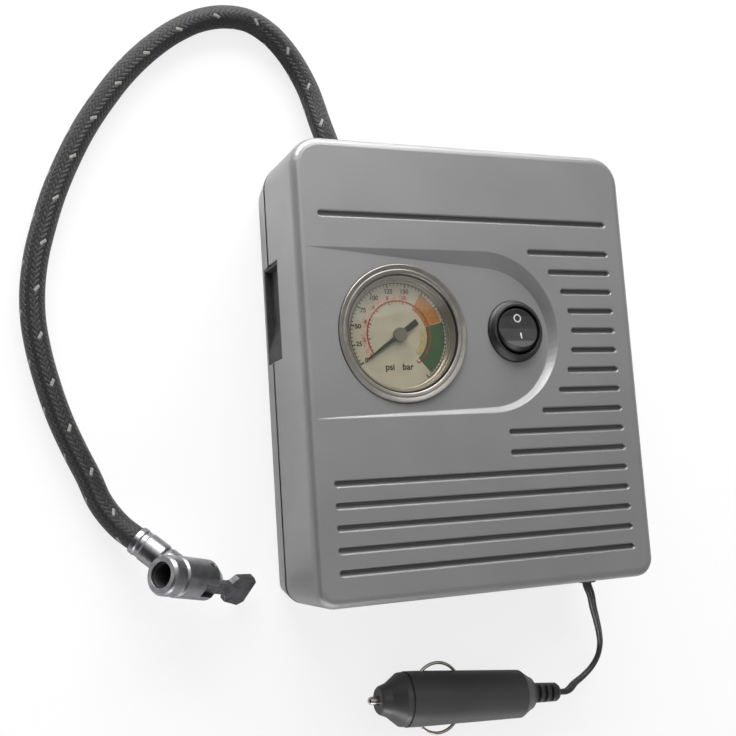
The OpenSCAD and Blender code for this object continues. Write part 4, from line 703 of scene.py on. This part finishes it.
def arcBand(bm, radii, angles, low, high):
    # a band of a ring between two angles
    count = max(1, round(abs(angles[1] - angles[0]) / dial["step"]))
    corners = ((radii[0], low), (radii[0], high), (radii[1], high), (radii[1], low))
    rows = []
    for k in range(count + 1):
        angle = math.radians(angles[0] + (angles[1] - angles[0]) * k / count)
        rows.append([
            bm.verts.new(Vector((*onCircle(dial["centre"], r, angle), z)) * mm) for r, z in corners])
    skin(bm, rows)


def printWords(bm, words, size, x, y, low, high):
    # flat letters of the built-in font, centred on a point
    curve = bpy.data.curves.new("letters", "FONT")
    curve.body = words
    curve.size = size * mm
    curve.align_x = "CENTER"
    curve.align_y = "CENTER"
    curve.extrude = (high - low) / 2 * mm
    curve.offset = dial["bold"] * mm
    curve.resolution_u = 4
    holder = bpy.data.objects.new("letters", curve)
    mesh = bpy.data.meshes.new_from_object(holder)
    mesh.transform(Matrix.Translation(Vector((x, y, (low + high) / 2)) * mm))
    bm.from_mesh(mesh)
    bpy.data.objects.remove(holder)
    bpy.data.curves.remove(curve)
    bpy.data.meshes.remove(mesh)


def printScale(bm, scale, low, high):
    # The arc, its ticks, numbers and words, clockwise from the pointer's rest.
    # The numbers stop where the coloured bands start.
    centre = Vector(dial["centre"])
    start = dial["zero"]
    radius = scale["radius"]
    half = scale["line"] / 2
    arcBand(bm, (radius - half, radius + half), (start, start - dial["sweep"]), low, high)
    for k in range(round(scale["full"] / scale["minor"]) + 1):
        value = scale["minor"] * k
        major = value % scale["major"] == 0
        length, width = scale["majorTick" if major else "minorTick"]
        angle = math.radians(start - dial["sweep"] * value / scale["full"])
        outward = Vector((math.cos(angle), math.sin(angle)))
        across = Vector((-outward.y, outward.x)) * (width / 2)
        a = centre + outward * radius
        b = centre + outward * (radius - length)
        prism(bm, (a - across, a + across, b + across, b - across), low, high)
        if major and value <= scale["last"]:
            spot = centre + outward * scale["numbers"]
            printWords(bm, str(round(value)), scale["size"], spot.x, spot.y, low, high)
    for words, x, y, size in scale["words"]:
        printWords(bm, words, size, centre.x + x, centre.y + y, low, high)


inkBlack = makeInk("blackScreenInk", "#171614")
inkRed = makeInk("redScreenInk", "#8C221D")
for kind in ("green", "orange", "ochre", "pink"):
    band = bmesh.new()
    arcBand(band, dial[kind]["radii"], dial[kind]["angles"], *(dial["top"] + h for h in dial["bandHeights"]))
    bandInk = makeInk(kind + "ScreenInk", dial[kind]["colour"])
    addPiece("dial" + kind.capitalize() + "Band", band, "casing", bandInk)
for name, kind, scaleInk in (("dialBlackScale", "outer", inkBlack), ("dialRedScale", "inner", inkRed)):
    scalePrint = bmesh.new()
    printScale(scalePrint, dial[kind], *(dial["top"] + h for h in dial["scaleHeights"]))
    addPiece(name, scalePrint, "casing", scaleInk)
print("dial printed")

rockerPrint = {
    "ring": {"radius": 1.35, "line": 0.42, "at": (16.9, 16.9), "facets": 24},
    "bar": {"length": 2.2, "line": 0.5, "at": (17.4, 10.2), "facets": 8},
    "thick": 0.03, "above": 70.0,  # mm; the rocker's face is found from above
}
rockerMesh = nodes["switch_rocker"].data
rockerTree = BVHTree.FromPolygons(
    [v.co for v in rockerMesh.vertices], [tuple(p.vertices) for p in rockerMesh.polygons])


def onRocker(x, y, lift):
    # the point of the rocker's face under x, y
    hit = rockerTree.ray_cast(Vector((x, y, rockerPrint["above"])) * mm, Vector((0, 0, -1)))[0]
    return hit + Vector((0, 0, lift * mm))


def layStrip(bm, edges, closed):
    # a thin raised strip on the rocker; edges are pairs of points on its two sides
    thick = rockerPrint["thick"]
    skin(bm, [[bm.verts.new(onRocker(*point, lift)) for point, lift in (
        (a, -thick), (a, thick), (b, thick), (b, -thick))] for a, b in edges], closed)


ring = rockerPrint["ring"]
bar = rockerPrint["bar"]
ringAngles = [2 * math.pi * k / ring["facets"] for k in range(ring["facets"])]
ringRadii = [ring["radius"] + s * ring["line"] / 2 for s in (-1, 1)]
barSides = [bar["at"][0] + s * bar["line"] / 2 for s in (-1, 1)]
barRows = [bar["at"][1] + bar["length"] * (k / bar["facets"] - 0.5) for k in range(bar["facets"] + 1)]
markForm = bmesh.new()
layStrip(markForm, [[onCircle(ring["at"], r, angle) for r in ringRadii] for angle in ringAngles], True)
layStrip(markForm, [[(x, y) for x in barSides] for y in barRows], False)
rockerMarks = addPiece("rockerMarks", markForm, "rocker", makeInk("paleScreenInk", "#D9D9D4"))
print("switch marked")

finishes = {
    silverAbs: ("front_shell", "rear_shell"),
    # the side grip is a rubber insert, and its near-black also stands in for shade on the casing's left wall
    mouldedRubber: ("side_grip", "hose_gland", "cord_grommet", "chuck_seal", "outlet_valve"),
    blackNylon: ("gauge_case", "motor_endcap", "piston_ring"),
    switchNylon: ("switch_housing", "switch_rocker"),
    plugAbs: ("plug_body", "plug_nose"),
    softPvc: ("plug_boot", "power_cord"),
    tubePvc: ("gauge_tube", "supply_tube"),
    nickelledZinc: ("hose_ferrule", "chuck_body"),
    darkZinc: ("chuck_lever",),
    clearLens: ("gauge_lens",),
    dialEnamel: ("gauge_dial",),
    needlePaint: ("gauge_needle",),
    turnedBrass: ("gauge_movement", "gauge_sector", "bourdon_tube", "gauge_stem", "hose_fitting",
                  "motor_pinion", "motor_terminals", "switch_terminals", "big_end_bush"),
    platedSteel: ("gauge_bezel", "case_screws", "motor_can", "motor_shaft", "motor_screws", "frame_screws",
                  "gear_axle", "crank_pin", "piston_pin", "head_screws", "valve_spring", "lever_pin"),
    castAluminium: ("drive_frame", "connecting_rod", "piston", "cylinder_sleeve", "cylinder_head"),
    woundCopper: ("motor_armature",),
    pressedCarbon: ("motor_brushes", "motor_magnets"),
    acetal: ("crank_gear",),
    brightNickel: ("plug_tip", "plug_spring", "plug_contact_upper", "plug_contact_lower"),
    fuseGlass: ("plug_fuse",),
    braidedPolyester: ("air_hose",),
}
for finish, members in finishes.items():
    for name in members:
        for slot in nodes[name].material_slots:
            slot.material = finish
unfinished = set(nodes) - {n for members in finishes.values() for n in members}
print("nodes finished, left over:", sorted(unfinished))

# Matt white card: even, with almost no sheen
floor = {
    "size": 8000.0, "cells": 8, "drop": 0.05,  # mm; the drop keeps it clear of the faces that rest on it
    "colours": ("#F8F8F8", "#F5F5F5"), "patch": 400.0, "grain": 3.0, "relief": 0.001,
    "roughness": (0.8, 0.9), "edge": 0.01,
    "white": "#FFFFFF", "whiteShare": (0.8, 1.0), "whiteAt": (280.0, 600.0),  # mm from the middle
}
floorForm = bmesh.new()
bmesh.ops.create_grid(
    floorForm, x_segments=floor["cells"], y_segments=floor["cells"], size=floor["size"] / 2 * mm)
floorMesh = bpy.data.meshes.new("floor")
floorForm.to_mesh(floorMesh)
floorForm.free()
floorObject = bpy.data.objects.new("floor", floorMesh)
floorObject.location.z = -floor["drop"] * mm
bpy.context.scene.collection.objects.link(floorObject)
floorMesh.materials.append(makeFinish("whiteCard", floor))

# the card shows white to the camera: partly under the part, so its shadow stays, and wholly further out
floorTree = floorMesh.materials[0].node_tree
floorOut = floorTree.nodes["Material Output"]
lit = floorOut.inputs["Surface"].links[0].from_socket
floorPlace = addNode(floorTree, "TexCoord").outputs["Object"]
floorSeen = addNode(floorTree, "LightPath").outputs["Is Camera Ray"]
reach = addNode(floorTree, "VectorMath", {0: floorPlace}, operation="LENGTH").outputs["Value"]
whiteShare = addNode(floorTree, "MapRange", {
    "Value": reach, "From Min": floor["whiteAt"][0] * mm, "From Max": floor["whiteAt"][1] * mm,
    "To Min": floor["whiteShare"][0], "To Max": floor["whiteShare"][1]},
    interpolation_type="SMOOTHSTEP").outputs[0]
whiteShare = addNode(floorTree, "Math", {0: whiteShare, 1: floorSeen}, operation="MULTIPLY").outputs[0]
paper = addNode(floorTree, "Emission", {"Color": srgb(floor["white"]), "Strength": 1.0})
card = addNode(floorTree, "MixShader", {0: whiteShare, 1: lit, 2: paper.outputs[0]})
floorTree.links.new(card.outputs[0], floorOut.inputs["Surface"])

lights = {  # mm and watts
    "key": {"at": (-60, 900, 470), "size": (1200, 560), "power": 20.3},
    "overhead": {"at": (-120, 750, 1300), "size": (1700, 1300), "power": 4.6},
    "front": {"at": (-200, -850, 200), "size": (900, 300), "power": 4.0},
}
for name, values in lights.items():
    lampData = bpy.data.lights.new(name, "AREA")
    lampData.shape = "RECTANGLE"
    lampData.size = values["size"][0] * mm
    lampData.size_y = values["size"][1] * mm
    lampData.energy = values["power"]
    lamp = bpy.data.objects.new(name, lampData)
    lamp.location = Vector(values["at"]) * mm
    lamp.rotation_euler = (-lamp.location).to_track_quat("-Z", "Y").to_euler()
    bpy.context.scene.collection.objects.link(lamp)

# the room is pale all round and darker on the left, which draws the rounded edges that face that way
room = {
    "colour": "#F5F5F5", "white": "#FFFFFF", "darkTowards": (-0.86, 0.05, 0.5), "darkBetween": (0.45, 0.85),
    "levels": (0.35, 0.02),
}
world = bpy.data.worlds.new("studio")
bpy.context.scene.world = world
worldTree = clearTree(world)
worldSeen = addNode(worldTree, "LightPath").outputs["Is Camera Ray"]
way = addNode(worldTree, "TexCoord").outputs["Generated"]
leftward = addNode(worldTree, "VectorMath", {0: way, 1: room["darkTowards"]}, operation="DOT_PRODUCT")
level = addNode(worldTree, "MapRange", {
    "Value": leftward.outputs["Value"],
    "From Min": room["darkBetween"][0], "From Max": room["darkBetween"][1],
    "To Min": room["levels"][0], "To Max": room["levels"][1]}, interpolation_type="SMOOTHSTEP").outputs[0]
walls = addNode(worldTree, "Background", {"Color": srgb(room["colour"]), "Strength": level})
white = addNode(worldTree, "Background", {"Color": srgb(room["white"]), "Strength": 1.0})
mixed = addNode(worldTree, "MixShader", {0: worldSeen, 1: walls.outputs[0], 2: white.outputs[0]})
addNode(worldTree, "OutputWorld", {"Surface": mixed.outputs[0]})
bpy.context.scene.view_settings.view_transform = "Standard"
print("floor and light set")
